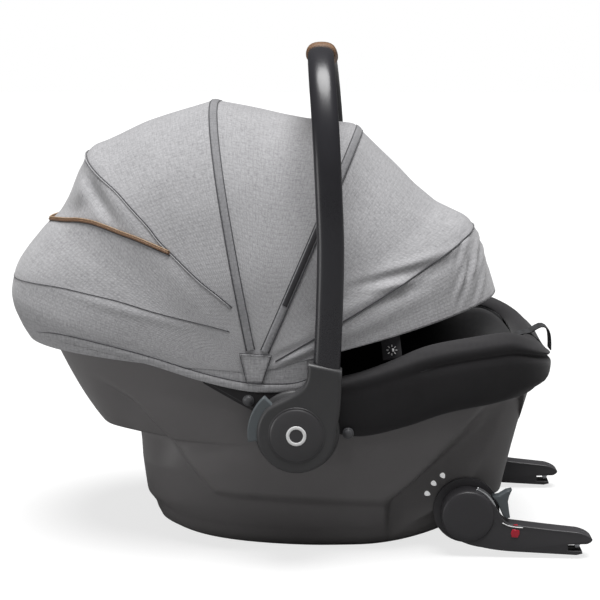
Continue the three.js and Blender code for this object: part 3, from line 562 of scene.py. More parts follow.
# Height, ends and half width of each level under the head end's step.
LOWER = [(141.5, -298, 213.8, 175.9), (140, -290, 213.6, 175.7), (139.5, -278, 213.4, 175.6),
         (139, -266, 213.2, 175.5), (137.5, -258, 213, 175.3), (134, -253, 212, 174.8),
         (129, -250, 211, 174.1), (117, -247, 208, 172.2), (103, -245, 205, 169.6),
         (89, -243.5, 202, 166.6), (75, -242, 199, 163.2), (62, -240.5, 196.5, 159.8),
         (50, -239, 193, 156.4), (39, -237, 189, 153), (29, -234, 184, 149.5), (21, -229, 178, 145.5),
         (17, -224, 173, 141)]
BASE_MIDDLE = -43
BASE_FLOOR = (-216, 165, 134)
# Share of the floor's outline and rise above the rocker, from its edge to its middle.
FLOOR_RINGS = [(1.0, 3.2), (0.985, 1.4), (0.96, 0.4), *((k, 0) for k in (0.92, 0.8, 0.6, 0.4, 0.2, 0.02))]


def shell_points(count=380):
    rows = []
    for depth in np.linspace(0, 1, 30):
        x, y = plan_loop(*wall(depth), count)
        rows.append(np.column_stack([x, y, mix(rim_z(x, y), STEP_Z + 2, depth)]))
    levels = np.array(LOWER)
    for z in np.concatenate([levels[:5, 0], np.arange(135.5, 18, -2.5), [17]]):
        xl, xr, b = (np.interp(-z, -levels[:, 0], levels[:, k]) for k in (1, 2, 3))
        x, y = plan_loop(xl, xr, b, count, head=mix(2.6, 4, clamp01((STEP_Z - z) / 40)),
                         middle=BASE_MIDDLE)
        low = smooth((62 - z) / 40)
        height = z + rocker_z(x) * low - 10 * clamp01((24 - z) / 7) * low
        rows.append(np.column_stack([x, y, height]))
    x0, y0 = plan_loop(*BASE_FLOOR, count, head=4, middle=BASE_MIDDLE)
    for k, rise in FLOOR_RINGS:
        x, y = (x0 + 23) * k - 23, y0 * k
        rows.append(np.column_stack([x, y, rocker_z(x) + rise]))
    return np.array(rows)


def recess(p):
    """Sets the lower body and the arm pockets in from the side panel."""
    x, y, z = p[..., 0], p[..., 1], p[..., 2]
    side = smooth((np.abs(y) - 60) / 60)
    panel = signed_distance(x, z, PANEL)
    inset = CREASE_DEPTH * smooth((1.5 - panel) / mix(5, 16, smooth((x + 190) / 70))) * side
    bulge = 3.0 * smooth(panel / 60) * smooth((z - 60) / 60) * side * smooth((210 - z) / 40)
    inset = inset * smooth((x + 300) / 60) * np.where(x > 214, 0, 1)
    y_new = np.sign(y) * (np.abs(y) - inset + bulge)
    pocket = signed_distance(x, z, POCKET)
    soft = mix(7.0, 24.0, smooth((z - 80) / 90))
    depth = smooth((pocket - 0.5) / soft)
    limit = ISOFIX["pocket"]
    y_new = np.where(np.abs(y_new) > limit, np.sign(y) * mix(np.abs(y_new), limit, depth), y_new)
    return np.stack([x, y_new, z], axis=-1)


# Radius and distance from the middle of the raised boss behind each hub.
BOSS_PROFILE = [(8, 168), (37, 168), (39.5, 182), (37.6, 186), (37, 190), (37, 197), (36, 198.4), (8, 198.4)]
SHELL_THICK = 4

shell = grid("shell", recess(shell_points()), SHELL, close_columns=True, replaces=["outer_shell"])
outward(shell)
modify(shell, "SOLIDIFY", thickness=SHELL_THICK * MM, offset=-1)
for name, sign in pair("handle_boss"):
    lathe_y(name, *HANDLE, BOSS_PROFILE, SHELL, sign)

# ------------------------------------------------------------------ rim cover
COVER_LOW = curve([(-168, 217), (-148, 204), (-123, 188), (-106, 178), (-80, 168), (-40, 159), (9, 151),
                   (67, 161), (123, 176), (180, 183.5), (240, 192)])


COVER_FROM = -166
SEAM_COLUMN = 9


def cover_rows():
    count = 520
    x, y = plan_loop(*wall(0), count)
    order = (np.arange(count) + count // 2) % count
    keep = [j for j in order if x[j] > COVER_FROM]
    rows = []
    dx, dy = np.roll(x, -1) - np.roll(x, 1), np.roll(y, -1) - np.roll(y, 1)
    length = np.hypot(dx, dy)
    nx, ny = dy / length, -dx / length
    for j in keep:
        low_z = float(COVER_LOW(x[j]))
        top = float(rim_z(x[j], y[j]))
        depth = (top - low_z) / (top - STEP_Z)
        lx, ly = plan_loop(*wall(depth), count)
        base_low, base_top = np.array([lx[j], ly[j]]), np.array([x[j], y[j]])
        out = np.array([nx[j], ny[j]])
        inner = base_top - out * 20
        crown = max(top, float(rim_z(*inner)))
        full = smooth((x[j] - COVER_FROM) / 60)
        roll = smooth((x[j] - 20) / 90)
        tuck = 1 + 0.9 * smooth((x[j] - 185) / 50)

        def at(t, offset, z):
            base = mix(base_low, base_top, t)
            p = base + out * offset
            return (p[0], p[1], z)

        b = mix(3.4, 8.5, full)
        puff = mix(3.0, 9.5, roll)
        fold = smooth((x[j] - 60) / 60)
        wide = mix(1.0, 1.25, smooth((x[j] - 150) / 70))
        def on_wall(t, offset):
            return at(t, offset * b, mix(low_z, top, t))

        def on_top(offset, share, rise, puffed):
            return at(1, offset, mix(top, crown, share) + rise + puff * puffed)

        rows.append([
            at(0, 0.8, low_z + 2),
            at(0, 2.6 * full + 1, low_z - 1.2),
            at(0, b * 0.72 * wide, low_z + 1.5),
            at(0.05, b * 0.95 * wide, low_z + 6),
            on_wall(0.2, 1.1 * tuck),
            on_wall(0.4, 1.12 * tuck),
            on_wall(0.6, 1.02 * tuck),
            on_wall(0.72, 0.94 * tuck),
            on_wall(0.8, mix(0.82, 0.62, fold) * tuck),
            on_wall(0.83, mix(0.80, 0.42, fold) * tuck),
            on_wall(0.86, mix(0.76, 0.66, fold) * tuck),
            on_wall(0.93, 0.78 * tuck),
            at(1, b * 0.62, top + 1.0),
            at(1, b * 0.34, top + 3.4),
            on_top(-1.5, 0.2, 4, 0.45),
            on_top(-8, 0.5, 4, 0.78),
            on_top(-14, 1, 4, 0.8),
            on_top(-20, 1, 3, 0.45),
            on_top(-24, 1, 0, 0.1),
            on_top(-24.5, 1, -4, 0),
            on_top(-14, 0.7, 1.8, 0),
            at(1, 0.6, top + 0.6),
        ])
    return np.array(rows)


cover_points = cover_rows()
cover = grid("rim_cover_cloth", cover_points, BLACK, close_columns=True, cap=True, replaces=["rim_cover"])
outward(cover)
modify(cover, "SUBSURF", levels=1, render_levels=1)
for name, sign in pair("cover_seam"):
    line = [p for p in cover_points[:, SEAM_COLUMN] if sign * p[1] > 0 and p[0] > 88]
    line.sort(key=lambda p: p[0] - sign * p[1] * 0.001)
    sweep(name, fine(line[::8], 4), round_section(0.5), SEAM, slot="black_cloth")

# ------------------------------------------------------------------ seat
HOLLOW = [(0, -362, 216, 163), (0.2, -357, 212, 158.5), (0.45, -351, 207, 152), (0.65, -345, 201, 145.5),
          (0.8, -338, 194, 138), (0.9, -332, 187, 131), (0.95, -328, 180, 124), (0.985, -321, 171, 115),
          (1, -312, 160, 104)]
SEAT_FLOOR = (-312, 160, 104)
SEAT_SEAMS = [-265, -205, -145, -85, -30, 20]


def seat_points(count=300):
    rows = []
    for t, xl, xr, b in HOLLOW:
        x, y = plan_loop(xl, xr, b, count, head=2.8, foot=4)
        rows.append(np.column_stack([x, y, mix(rim_z(x, y) - 1, seat_z(x), t)]))
    x0, y0 = plan_loop(*SEAT_FLOOR, count, head=2.8, foot=4)
    for k in np.linspace(0.95, 0.02, 22):
        x, y = (x0 + 76) * k - 76, y0 * k
        rows.append(np.column_stack([x, y, seat_z(x)]))
    p = np.array(rows)
    low = smooth((130 - np.abs(p[..., 1])) / 30)
    low = low * smooth((p[..., 0] + 330) / 30) * smooth((60 - p[..., 0]) / 25)
    dent = np.zeros(p.shape[:2])
    for x in SEAT_SEAMS:
        dent += 4.5 * np.exp(-((p[..., 0] - x) / 5.0) ** 2)
    dent += 4.0 * np.exp(-((np.abs(p[..., 1]) - 78) / 5.0) ** 2)
    swell = 2.2 - 0.6 * dent
    p[..., 2] += np.where(low > 0, low * swell, 0)
    p[..., 2] -= 6 * np.exp(-((p[..., 0] - 148) / 34) ** 4 - (p[..., 1] / 34) ** 4)
    return p


seat = outward(grid("seat_cushion", seat_points()[:, ::-1], PAD, close_columns=True, replaces=["seat_pad"]))
modify(seat, "SOLIDIFY", thickness=6 * MM, offset=-1)
modify(seat, "SUBSURF", levels=1, render_levels=1)

# ------------------------------------------------------------------ hood
HOOD_PROFILE = [(190, 288), (190, 291), (181, 318), (174, 343), (169, 361), (162, 373), (149, 386),
                (136, 393), (114, 404), (88, 426), (62, 452), (14, 499), (-44, 505.5), (-159, 527),
                (-240, 501), (-278, 484), (-305, 473), (-314, 463), (-322, 445), (-334, 416), (-349, 393),
                (-366, 377), (-374, 367), (-385, 353), (-396, 337), (-402, 325), (-407, 308), (-409, 296),
                (-406, 280), (-395, 257), (-387, 245), (-382, 236)]


def polar_reach(profile):
    p = np.array(profile, float) - [HOOD["x"], HOOD["z"]]
    step = 0.25
    angles = np.arange(0, 190, step)
    reach = np.empty(len(angles))
    for k, degrees in enumerate(angles):
        a = math.radians(degrees)
        dx, dz = math.cos(a), math.sin(a)
        hit = [0.0]
        for (x0, z0), (x1, z1) in zip(p[:-1], p[1:]):
            det = dx * (z1 - z0) - dz * (x1 - x0)
            if abs(det) < 1e-9:
                continue
            s = (dz * x0 - dx * z0) / det
            if -1e-9 <= s <= 1 + 1e-9:
                r = (x0 + s * (x1 - x0)) * dx + (z0 + s * (z1 - z0)) * dz
                if r > 0:
                    hit.append(r)
        reach[k] = max(hit)
    first = np.argmax(reach > 0)
    reach[:first] = reach[first]
    last = len(reach) - 1 - np.argmax(reach[::-1] > 0)
    reach[last:] = reach[last]
    kernel = np.exp(-0.5 * (np.arange(-8, 9) * step / 0.6) ** 2)
    kernel /= kernel.sum()
    padded = np.concatenate([np.full(8, reach[0]), reach, np.full(8, reach[-1])])
    soft = np.convolve(padded, kernel, mode="valid")
    return lambda degrees: np.interp(degrees, angles, soft)


hood_reach = polar_reach(HOOD_PROFILE)


def hood_power(degrees):
    return 2.2 + 0.3 * smooth((np.asarray(degrees, float) - 90) / 90)


def hood_y(x, z):
    """Half width of the hood's skin at a place in side view."""
    dx, dz = np.asarray(x, float) - HOOD["x"], np.asarray(z, float) - HOOD["z"]
    degrees = np.degrees(np.arctan2(dz, dx))
    degrees = np.where(degrees < -90, degrees + 360, degrees)
    degrees = np.clip(degrees, FRONT_HEM, 186)
    n = hood_power(degrees)
    ratio = clamp01(np.hypot(dx, dz) / hood_reach(degrees))
    return HOOD["half"] * (1 - ratio ** n) ** (1 / n)


# Soft folds: centre, length and width, turn in degrees, height.
FOLDS = [(88, 347, 42, 5.5, 14, 3.4), (60, 333, 46, 5, 12, -2.4), (60, 322, 26, 4.2, 9, 2.6),
         (100, 331, 40, 7, 24, -2.4), (66, 310, 34, 5, 16, -1.6), (-284, 420, 36, 8, -48, -8),
         (-304, 426, 28, 7, 84, 5), (-318, 400, 24, 11, 20, -4), (-340, 330, 50, 22, 8, 2.4),
         (-250, 296, 70, 6, -12, 1.6), (-282, 470, 16, 10, 10, -1.5), (106, 396, 26, 9, -34, -2),
         (148, 380, 14, 10, -30, 2), (-210, 440, 60, 26, 30, 2), (-80, 400, 26, 90, 0, -2),
         (20, 420, 30, 60, -20, -2)]


def bell(x, z, cx, cz, rx, rz, turn=0.0):
    a = math.radians(turn)
    u = ((x - cx) * math.cos(a) + (z - cz) * math.sin(a)) / rx
    v = (-(x - cx) * math.sin(a) + (z - cz) * math.cos(a)) / rz
    return np.exp(-(u * u + v * v)), u * rx, v * rz


def creases(x, y, z):
    """How far the cloth stands out from the taut form, in wrinkles and folds."""
    side = np.sign(y)
    out = 0.6 * np.sin(x / 23 + side * 1.3 + z / 41) + 0.5 * np.sin(z / 17 - x / 57 + side)
    for cx, cz, rx, rz, turn, height in FOLDS:
        w, _, _ = bell(x, z, cx, cz, rx, rz, turn)
        out += height * w
    w, u, v = bell(x, z, 152, 332, 19, 30, -14)
    out += w * (2.6 * np.sin(u / 2.3 + 0.9 * np.sin(v / 9)) + 1.6 * np.sin(u / 1.5 - v / 13))
    w, u, v = bell(x, z, -60, 238, 34, 16, 24)
    out += 1.8 * w * np.sin(v / 2.6)
    w, u, v = bell(x, z, 30, 300, 60, 30, 24)
    out += 0.9 * w * np.sin(v / 4.2)
    return out


def hood_surface(degrees, phi, lift=0.0):
    """Points on the hood's skin: degrees about its pivot and phi across, with wrinkles."""
    degrees = np.asarray(degrees, float)
    a = np.radians(degrees)
    n = hood_power(degrees)
    reach = hood_reach(degrees)
    r = reach * np.cos(phi) ** (2 / n)
    y = HOOD["half"] * np.sign(phi) * np.abs(np.sin(phi)) ** (2 / n)
    x, z = HOOD["x"] + r * np.cos(a), HOOD["z"] + r * np.sin(a)
    normal_r = (np.maximum(np.cos(phi), 1e-6) ** (2 - 2 / n)) / reach * HOOD["half"]
    normal_y = np.abs(np.sin(phi)) ** (2 - 2 / n)
    length = np.hypot(normal_r, normal_y)
    out = lift + creases(x, y, z) * smooth(r / 60)
    out_r, out_y = out * normal_r / length, out * np.sign(phi) * normal_y / length
    return np.stack([x + out_r * np.cos(a), y + out_y, z + out_r * np.sin(a)], axis=-1)


def end_phi(degrees, least):
    n, reach = hood_power(degrees), hood_reach(degrees)
    return np.arccos(np.clip(least / reach, 0, 1) ** (n / 2))


def hood_cloth(name, start, stop, node, body=None, step=0.7, columns=261):
    """A panel of the hood's skin between two angles about its pivot, and its rows and columns."""
    degrees = np.linspace(start, stop, max(3, int(abs(stop - start) / step)))
    rows, uvs = [], []
    for d in degrees:
        row = hood_surface(d, np.linspace(-1, 1, columns) * end_phi(d, CLOTH_END))
        run = run_along(row)
        rows.append(row)
        uvs.append(np.column_stack([run - run[-1] / 2, np.full(columns, math.radians(d) * WEAVE_RADIUS)]))
    weave = np.array(uvs).reshape(-1, 2)
    obj = outward(grid(name, np.array(rows), GREY, uv=weave, replaces=[node], body=body))
    polygon = obj.data.polygons[len(obj.data.polygons) // 2]
    if polygon.normal.dot(polygon.center - Vector((HOOD["x"] * MM, 0, HOOD["z"] * MM))) < 0:
        obj.data.flip_normals()
    return obj, len(degrees), columns


def thicken(obj, **settings):
    """Gives a cloth its thickness, inwards from its face."""
    modify(obj, "SOLIDIFY", thickness=CLOTH_THICK * MM, offset=-1, **settings)
    modify(obj, "WEIGHTED_NORMAL", weight=90)


LEAST_FILL = 0.31


def stretched(obj, rows, columns, rests_on):
    """Measures a sheet that was cut to its own shape and stretched over its bows; the measures are not used.
    """
    p = np.array([v.co for v in obj.data.vertices]).reshape(rows, columns, 3)
    length = np.linalg.norm(np.diff(p, axis=1), axis=2).sum(axis=1).max()
    width = np.linalg.norm(np.diff(p, axis=0), axis=2).sum(axis=0).max()
    area = sum(f.area for f in obj.data.polygons)
    # A long band with a wide end fills little of its flat size, and its length is taken shorter than it is.
    while area < LEAST_FILL * width * length:
        length *= 0.97


BODY_AT = ["seat", "hood_1", "hood_2", "hood_3", "hood_4"]
SEAMS = [REAR_SEAM, *BOW_ANGLES]
RESTS_ON = ["hood_rear_cloth", "hood_bow_1", "hood_bow_2", "hood_bow_3", "hood_bow_4"]
CLOTH_THICK = 2.0
CLOTH_END = 4
WEAVE_RADIUS = 290

LOW_HEM = curve([(-393, 244), (-360, 249), (-326, 252), (-274, 246), (-215, 234), (-158, 218), (-107, 207),
                 (-75, 205.5), (-45, 208), (-20, 221), (6, 243)])


def top_of(body_angle):
    a = math.radians(body_angle)
    r = float(hood_reach(body_angle))
    return tuple(v * MM for v in (HOOD["x"] + r * math.cos(a), 0, HOOD["z"] + r * math.sin(a)))


rear = hood_cloth("hood_rear_cloth", REAR_HEM, REAR_SEAM, "hood_rear_cover", "seat")
thicken(rear[0], use_rim=False)
stretched(*rear, ["shell"])
for i in range(4):
    cloth = hood_cloth(f"hood_cloth_{i + 1}", SEAMS[i], SEAMS[i + 1], f"hood_panel_{i + 1}")
    thicken(cloth[0], use_rim=False)
    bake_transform(cloth[0], BODY_AT[i], BODY_AT[i + 1], start=top_of(SEAMS[i]), end=top_of(SEAMS[i + 1]))
    stretched(*cloth, RESTS_ON[i:i + 2])
visor = hood_cloth("hood_visor_cloth", BOW_ANGLES[3], FRONT_HEM, "hood_visor", "hood_4")
thicken(visor[0])
stretched(*visor, ["hood_bow_4"])


# How near the pivot the channels and seams over the bows reach.
BAND_END = 26


def beside_bow(degrees, phi, offset, lift):
    """A line over the hood's skin beside a bow, offset towards the foot end."""
    a = math.radians(degrees)
    across = np.array([math.sin(a), 0, -math.cos(a)])
    row = hood_surface(degrees, phi, lift) + across * offset
    shift = np.degrees(offset / np.maximum(np.hypot(row[:, 0] - HOOD["x"], row[:, 2] - HOOD["z"]), 40))
    grow = (hood_reach(degrees - shift) / hood_reach(degrees) - 1) * np.cos(phi) ** 2
    row[:, 0] += (row[:, 0] - HOOD["x"]) * grow
    row[:, 2] += (row[:, 2] - HOOD["z"]) * grow
    return row


def hood_band(name, degrees, width, look, body, rise=1.2, phi_from=-1.0, phi_to=1.0, **more):
    """A sewn channel over a bow."""
    columns = int(221 * (phi_to - phi_from) / 2) + 3
    phi = np.linspace(phi_from, phi_to, columns) * end_phi(degrees, BAND_END)
    profile = [(-0.5, -0.9), (-0.5, 0.25), (-0.42, rise), (-0.2, rise + 0.5), (0.2, rise + 0.5), (0.42, rise),
               (0.5, 0.25), (0.5, -0.9)]
    rows = [beside_bow(degrees, phi, share * width, lift) for share, lift in profile]
    uvs = [np.column_stack([run_along(row), np.full(columns, share * width)])
           for row, (share, _) in zip(rows, profile)]
    weave = np.array(uvs).reshape(-1, 2)
    return outward(grid(name, np.array(rows), look, close_rows=True, uv=weave, body=body, **more))


def seam_line(name, degrees, offset, body, r, lift=0.6, columns=160):
    phi = np.linspace(-1, 1, columns) * end_phi(degrees, BAND_END)
    return sweep(name, beside_bow(degrees, phi, offset, lift), round_section(r, 8), SEAM, body=body)


for number, rear_r, front_r in ((1, 0.8, 0.6), (3, 0.6, 0.8)):
    angle = BOW_ANGLES[number - 1]
    name, body = f"hood_channel_{number}", f"hood_{number}"
    hood_band(name, angle, 8.5, CHANNEL_GREY, body)
    seam_line(f"{name}_rear_stitch", angle, -4.6, body, rear_r)
    seam_line(f"{name}_front_stitch", angle, 4.6, body, front_r)
for tag, start in (("right", -0.88), ("left", 0.60)):
    hood_band(f"hood_strip_{tag}", BOW_ANGLES[2], 6.5, DARK_TAPE, "hood_3", 1.9, start, start + 0.28,
              slot="grey_cloth")
seam_line("hood_front_seam", BOW_ANGLES[3], 0, "hood_4", 0.75, lift=0.5)


def skin_path(points, lift=0.8, step=4.0, sign=-1):
    """A line over the hood's skin, given in side view."""
    xz = fine(points, step)
    y = hood_y(xz[:, 0], xz[:, 1])
    dx, dz = xz[:, 0] - HOOD["x"], xz[:, 1] - HOOD["z"]
    degrees = np.degrees(np.arctan2(dz, dx))
    degrees = np.where(degrees < -90, degrees + 360, degrees)
    reach = hood_reach(np.clip(degrees, FRONT_HEM, 186))
    ratio = clamp01(np.hypot(dx, dz) / reach)
    n = hood_power(degrees)
    phi = np.arccos(clamp01(ratio) ** (n / 2)) * sign
    inside = (degrees > FRONT_HEM) & (degrees < 186)
    on = hood_surface(np.clip(degrees, FRONT_HEM, 186), phi, lift)
    flat = np.column_stack([xz[:, 0], sign * (y + lift), xz[:, 1]])
    return np.where(inside[:, None], on, flat)


REAR_CORNER = [(-315, 466), (-311, 464), (-290, 447), (-258, 425), (-236, 405), (-217, 387), (-204, 372),
               (-190, 359), (-158, 330), (-137, 314), (-121, 301)]
PIPING = [(-369.5, 376.5), (-362, 381), (-350, 384.5), (-336, 386.5), (-312, 388.5), (-288, 388),
          (-268, 384), (-250, 379), (-232, 374), (-215, 368), (-202, 363), (-192, 359)]
LOW_SEAM = [(-414.5, 318), (-397, 316), (-360, 316), (-323, 315), (-285, 310), (-249, 304), (-214, 295),
            (-180, 287), (-148, 280), (-124, 274)]


def across_hood(points, lift, step=4.0):
    """The line on both sides, joined over the middle."""
    near, far = skin_path(points, lift, step, -1), skin_path(points, lift, step, 1)
    near, far = near[np.abs(near[:, 1]) > 25], far[np.abs(far[:, 1]) > 25]
    ends = []
    for x, _, z in (near[0], far[0]):
        degrees = math.degrees(math.atan2(z - HOOD["z"], x - HOOD["x"])) % 360
        n = float(hood_power(degrees))
        ratio = min(1.0, math.hypot(x - HOOD["x"], z - HOOD["z"]) / float(hood_reach(degrees)))
        ends.append((degrees, math.acos(ratio ** (n / 2))))
    t = np.linspace(0, 1, 15)[1:-1]
    bridge = hood_surface(mix(ends[0][0], ends[1][0], t), mix(-ends[0][1], ends[1][1], t), lift)
    return np.concatenate([near[::-1], bridge, far])


piping_path = across_hood(PIPING, 1.4)
sweep("hood_piping", piping_path, round_section(1.6, 12), TAN)
# The lighter tan cord on top of the piping is a painted highlight.
sweep("hood_piping_highlight", piping_path + [0, 0, 2.4], round_section(0.9, 8), TAN_STITCH_AND_HIGHLIGHT)
sweep("hood_piping_shadow", piping_path - [0, 0, 2.2], round_section(0.6, 8), SEAM)
sweep("hood_low_seam", across_hood(LOW_SEAM, 0.3), round_section(0.5, 8), SEAM)
corner = across_hood(REAR_CORNER, 0.4)
sweep("hood_corner_seam", corner, round_section(0.6, 8), SEAM)
sweep("hood_corner_edge", corner + [-1.6, 0, -0.6], round_section(0.8, 8), GREY)


def skin_sheet(name, sign, x, z, lift, thick, rests_on, flip_at, body="seat"):
    """A strip of cloth over the hood's skin, with its columns along X and its rows up Z."""
    points = np.stack([x, sign * (hood_y(x, z) + lift), z], axis=-1)
    uv = np.stack([x, z], axis=-1).reshape(-1, 2)
    obj = grid(name, points, GREY, uv=uv, body=body)
    if obj.data.polygons[flip_at].normal.y * sign < 0:
        obj.data.flip_normals()
    stretched(obj, *x.shape, rests_on)
    return modify(obj, "SOLIDIFY", thickness=thick * MM, offset=-1)


# The patch where the bows meet.
PATCH = np.array([(-112.5, 250), (-76.5, 248), (-87.5, 216), (-104.5, 216)])
for tag, sign in (("left", 1), ("right", -1)):
    across, down = np.meshgrid(np.linspace(0, 1, 14), np.linspace(0, 1, 12))
    top_edge = PATCH[0] + (PATCH[1] - PATCH[0]) * across[..., None]
    low_edge = PATCH[3] + (PATCH[2] - PATCH[3]) * across[..., None]
    xz = mix(top_edge, low_edge, down[..., None])
    edge = np.minimum(np.minimum(across, 1 - across), np.minimum(down, 1 - down))
    skin_sheet(f"hood_patch_{tag}", sign, xz[..., 0], xz[..., 1], 1.0 + 0.5 * smooth(edge / 0.12), 1.6,
               ["hood_rear_cloth"], 70)
    loop = np.concatenate([fine([PATCH[k], PATCH[(k + 1) % 4]], 4)[:-1] for k in range(4)])
    line = np.column_stack([loop[:, 0], sign * (hood_y(loop[:, 0], loop[:, 1]) + 2.0), loop[:, 1]])
    sweep(f"hood_patch_seam_{tag}", line, round_section(0.5, 6), SEAM, closed=True)

# A small woven tag with a plain sun, sewn inside the visor's hem.
TAG_DEPTH = 7
tag_y = -float(hood_y(57, 262)) + TAG_DEPTH
tag_path = fine([(56, tag_y, 264), (57.5, tag_y - 0.8, 252), (59, tag_y - 0.4, 238)], 2)
sweep("sun_tag", tag_path, [(-11, -0.35), (11, -0.35), (11, 0.35), (-11, 0.35)], DARK_TAPE, side=(1, 0, 0.1),
      body="hood_4")
for k in range(9):
    a = k * math.tau / 8
    near_r, far_r, thick = (0.3, 2.6, 2.0) if k == 8 else (3.8, 6.2, 0.5)
    ray = [(58 + r * math.cos(a), tag_y - 1.5, 249 + r * math.sin(a)) for r in np.linspace(near_r, far_r, 4)]
    sweep(f"sun_tag_ray_{k + 1}", ray, round_section(thick, 8), WHITE_PRINT_AND_HIGHLIGHT, body="hood_4")

# The cloth below the pivot and the hem band along it.
SPLIT_X = -36
BAND_HEIGHT = 9.5


def fan_line(x):
    """Height of the pivot's fan of cloth, where the flaps begin."""
    rear_slope = math.tan(math.radians(180 - REAR_HEM))
    front_slope = math.tan(math.radians(FRONT_HEM))
    return np.where(x < HOOD["x"], HOOD["z"] + (HOOD["x"] - x) * rear_slope,
                    HOOD["z"] + (x - HOOD["x"]) * front_slope) + 2.5


def hem_sheet(name, xs, high, lift, bulge=0.0, rows=14, body="seat"):
    """A strip of cloth on both sides, from the low hem up to a line."""
    t = np.linspace(0, 1, rows)[:, None]
    x = np.broadcast_to(xs, (rows, len(xs)))
    z = mix(LOW_HEM(xs)[None, :], high[None, :], t)
    for side_name, sign in pair(name):
        middle = (rows - 1) * (len(xs) - 1) // 2
        skin_sheet(side_name, sign, x, z, lift + bulge * np.sin(np.pi * t), 1.4, ["shell"], middle, body)


flap_x = np.linspace(-320, SPLIT_X, 120)
front_x = np.linspace(SPLIT_X - 3, -14, 30)
band_x = np.linspace(-388, SPLIT_X, 150)
hem_sheet("hood_flap", flap_x, fan_line(flap_x), -0.6)
hem_sheet("visor_flap", front_x, fan_line(front_x), -0.8, body="hood_4")
hem_sheet("hood_hem", band_x, LOW_HEM(band_x) + BAND_HEIGHT, 0.9, 0.6, 7)
for name, sign in pair("hood_hem_stitch"):
    z = LOW_HEM(band_x) + BAND_HEIGHT + 0.1
    line = np.column_stack([band_x, sign * (hood_y(band_x, z) + 0.7), z])
    sweep(name, line, round_section(0.55, 8), SEAM)

# ------------------------------------------------------------------ carry handle
HANDLE_LEG = [(-16, 209.7, 214), (-12.5, 209.4, 290), (-11, 208, 367), (-13, 205, 422), (-15.5, 199, 470),
              (-18.5, 184, 515), (-22, 156, 553), (-24.5, 116, 576), (-25.5, 60, 583.5), (-26, 0, 584)]
handle_points = [(x, -y, z) for x, y, z in HANDLE_LEG] + [(x, y, z) for x, y, z in HANDLE_LEG[-2::-1]]
handle_path = fine(handle_points, 5)
TUBE = (30, 19)
SLEEVE_THICK = 2.3
GRIP_FROM = 0.4
sweep("handle_tube", handle_path, oval_section(*TUBE), TUBE_LOOK, side=(1, 0, 0), body="handle",
      replaces=["handle_bow"])
run = run_along(handle_path)
run /= run[-1]
grip_path = handle_path[(run > GRIP_FROM) & (run < 1 - GRIP_FROM)]
t = np.linspace(0, 1, len(grip_path))
swell = 1 - 0.5 * (np.exp(-(t / 0.006) ** 2) + np.exp(-((1 - t) / 0.006) ** 2))
grown = 2 * SLEEVE_THICK * swell
grip_section = np.array([oval_section(TUBE[0] + g, TUBE[1] + g, 2.4) for g in grown])
sweep("grip_sleeve", grip_path, grip_section, TAN, side=(1, 0, 0), body="handle", replaces=["handle_grip"])
for k, dx in enumerate((6, -6)):
    stitches = grip_path + [dx, 0, -11.8]
    sweep(f"grip_stitch_{k + 1}", stitches[3:-3], round_section(0.5, 6), TAN_STITCH_AND_HIGHLIGHT, body="handle")


def arc(x, z, r, a0, a1, count=24):
    t = np.linspace(a0, a1, count)
    return [(x + r * math.cos(a), z + r * math.sin(a)) for a in t]


def bezier(p0, p1, p2, p3, count=10):
    t = np.linspace(0, 1, count)[:, None]
    p0, p1, p2, p3 = (np.array(p, float) for p in (p0, p1, p2, p3))
    q = p0 * (1 - t) ** 3 + 3 * p1 * t * (1 - t) ** 2 + 3 * p2 * t * t * (1 - t) + p3 * t ** 3
    return [tuple(v) for v in q]


HUB_FROM = 2.42


def hub_outline():
    """The housing's round end and the neck that holds the tube."""
    x, z = HANDLE
    start = (x + HUB_R * math.cos(HUB_FROM), z + HUB_R * math.sin(HUB_FROM))
    out = [(2, 236), (-35, 244)]
    out += bezier((-35, 244), (-35, 226), (-37, 219), (-46, 212))[1:]
    out += bezier((-46, 212), (-58, 204), (-72, 199), start)[1:]
    out += arc(x, z, HUB_R, HUB_FROM, 2 * math.pi + 0.05, 40)[1:]
    out += bezier(out[-1], (0, 185), (2, 200), (2, 236))[1:-1]
    return out



# Radius and distance from the middle of the turned pieces.
SKIRT_PROFILE = [(20, 200), (44, 200), (47, 201), (47.6, 204), (45.8, 208), (20, 208)]
CAP_PROFILE = [(1, 218), (31.6, 218), (31.8, 221), (30.9, 222.6), (30, 221.9), (29.2, 222.9), (27, 223.9),
               (18, 224.9), (8, 225.3), (1, 225.4)]
RING_PROFILE = [(7.6, 225.0), (11.2, 225.0), (11.2, 225.55), (10.8, 225.75), (8, 225.75), (7.6, 225.55)]
STUD_PROFILE = [(1, -1), (6.3, -1), (6.6, 1.2), (5.9, 2.6), (5.1, 2.2), (4.6, 3), (2.6, 4), (1, 4.3)]
BUTTON = {"from": 2.25, "to": 3.35, "inner": 39, "outer": 55}

for name, sign in pair("handle_hub"):
    plate(f"{name}_housing", hub_outline(), 199, 221.6, HUB_LOOK, 4.5, 4, sign, body="handle",
          replaces=[name])
    lathe_y(name.replace("hub", "hub_skirt"), *HANDLE, SKIRT_PROFILE, HUB_LOOK, sign, body="handle")
for name, sign in pair("hub_cap"):
    lathe_y(f"{name}_disc", *HANDLE, CAP_PROFILE, CAP_LOOK, sign, body="handle", replaces=[name])
    lathe_y(f"{name}_mark", *HANDLE, RING_PROFILE, WHITE_PRINT_AND_HIGHLIGHT, sign, ring=True, body="handle")
for name, sign in pair("handle_button"):
    outline = arc(*HANDLE, BUTTON["outer"], BUTTON["from"] + 0.03, BUTTON["to"] - 0.03, 18)
    outline += arc(*HANDLE, BUTTON["inner"], BUTTON["to"], BUTTON["from"], 14)
    plate(f"{name}_key", outline, 205, 217, BUTTON_LOOK, 1.8, 3, sign, body=name, replaces=[name])
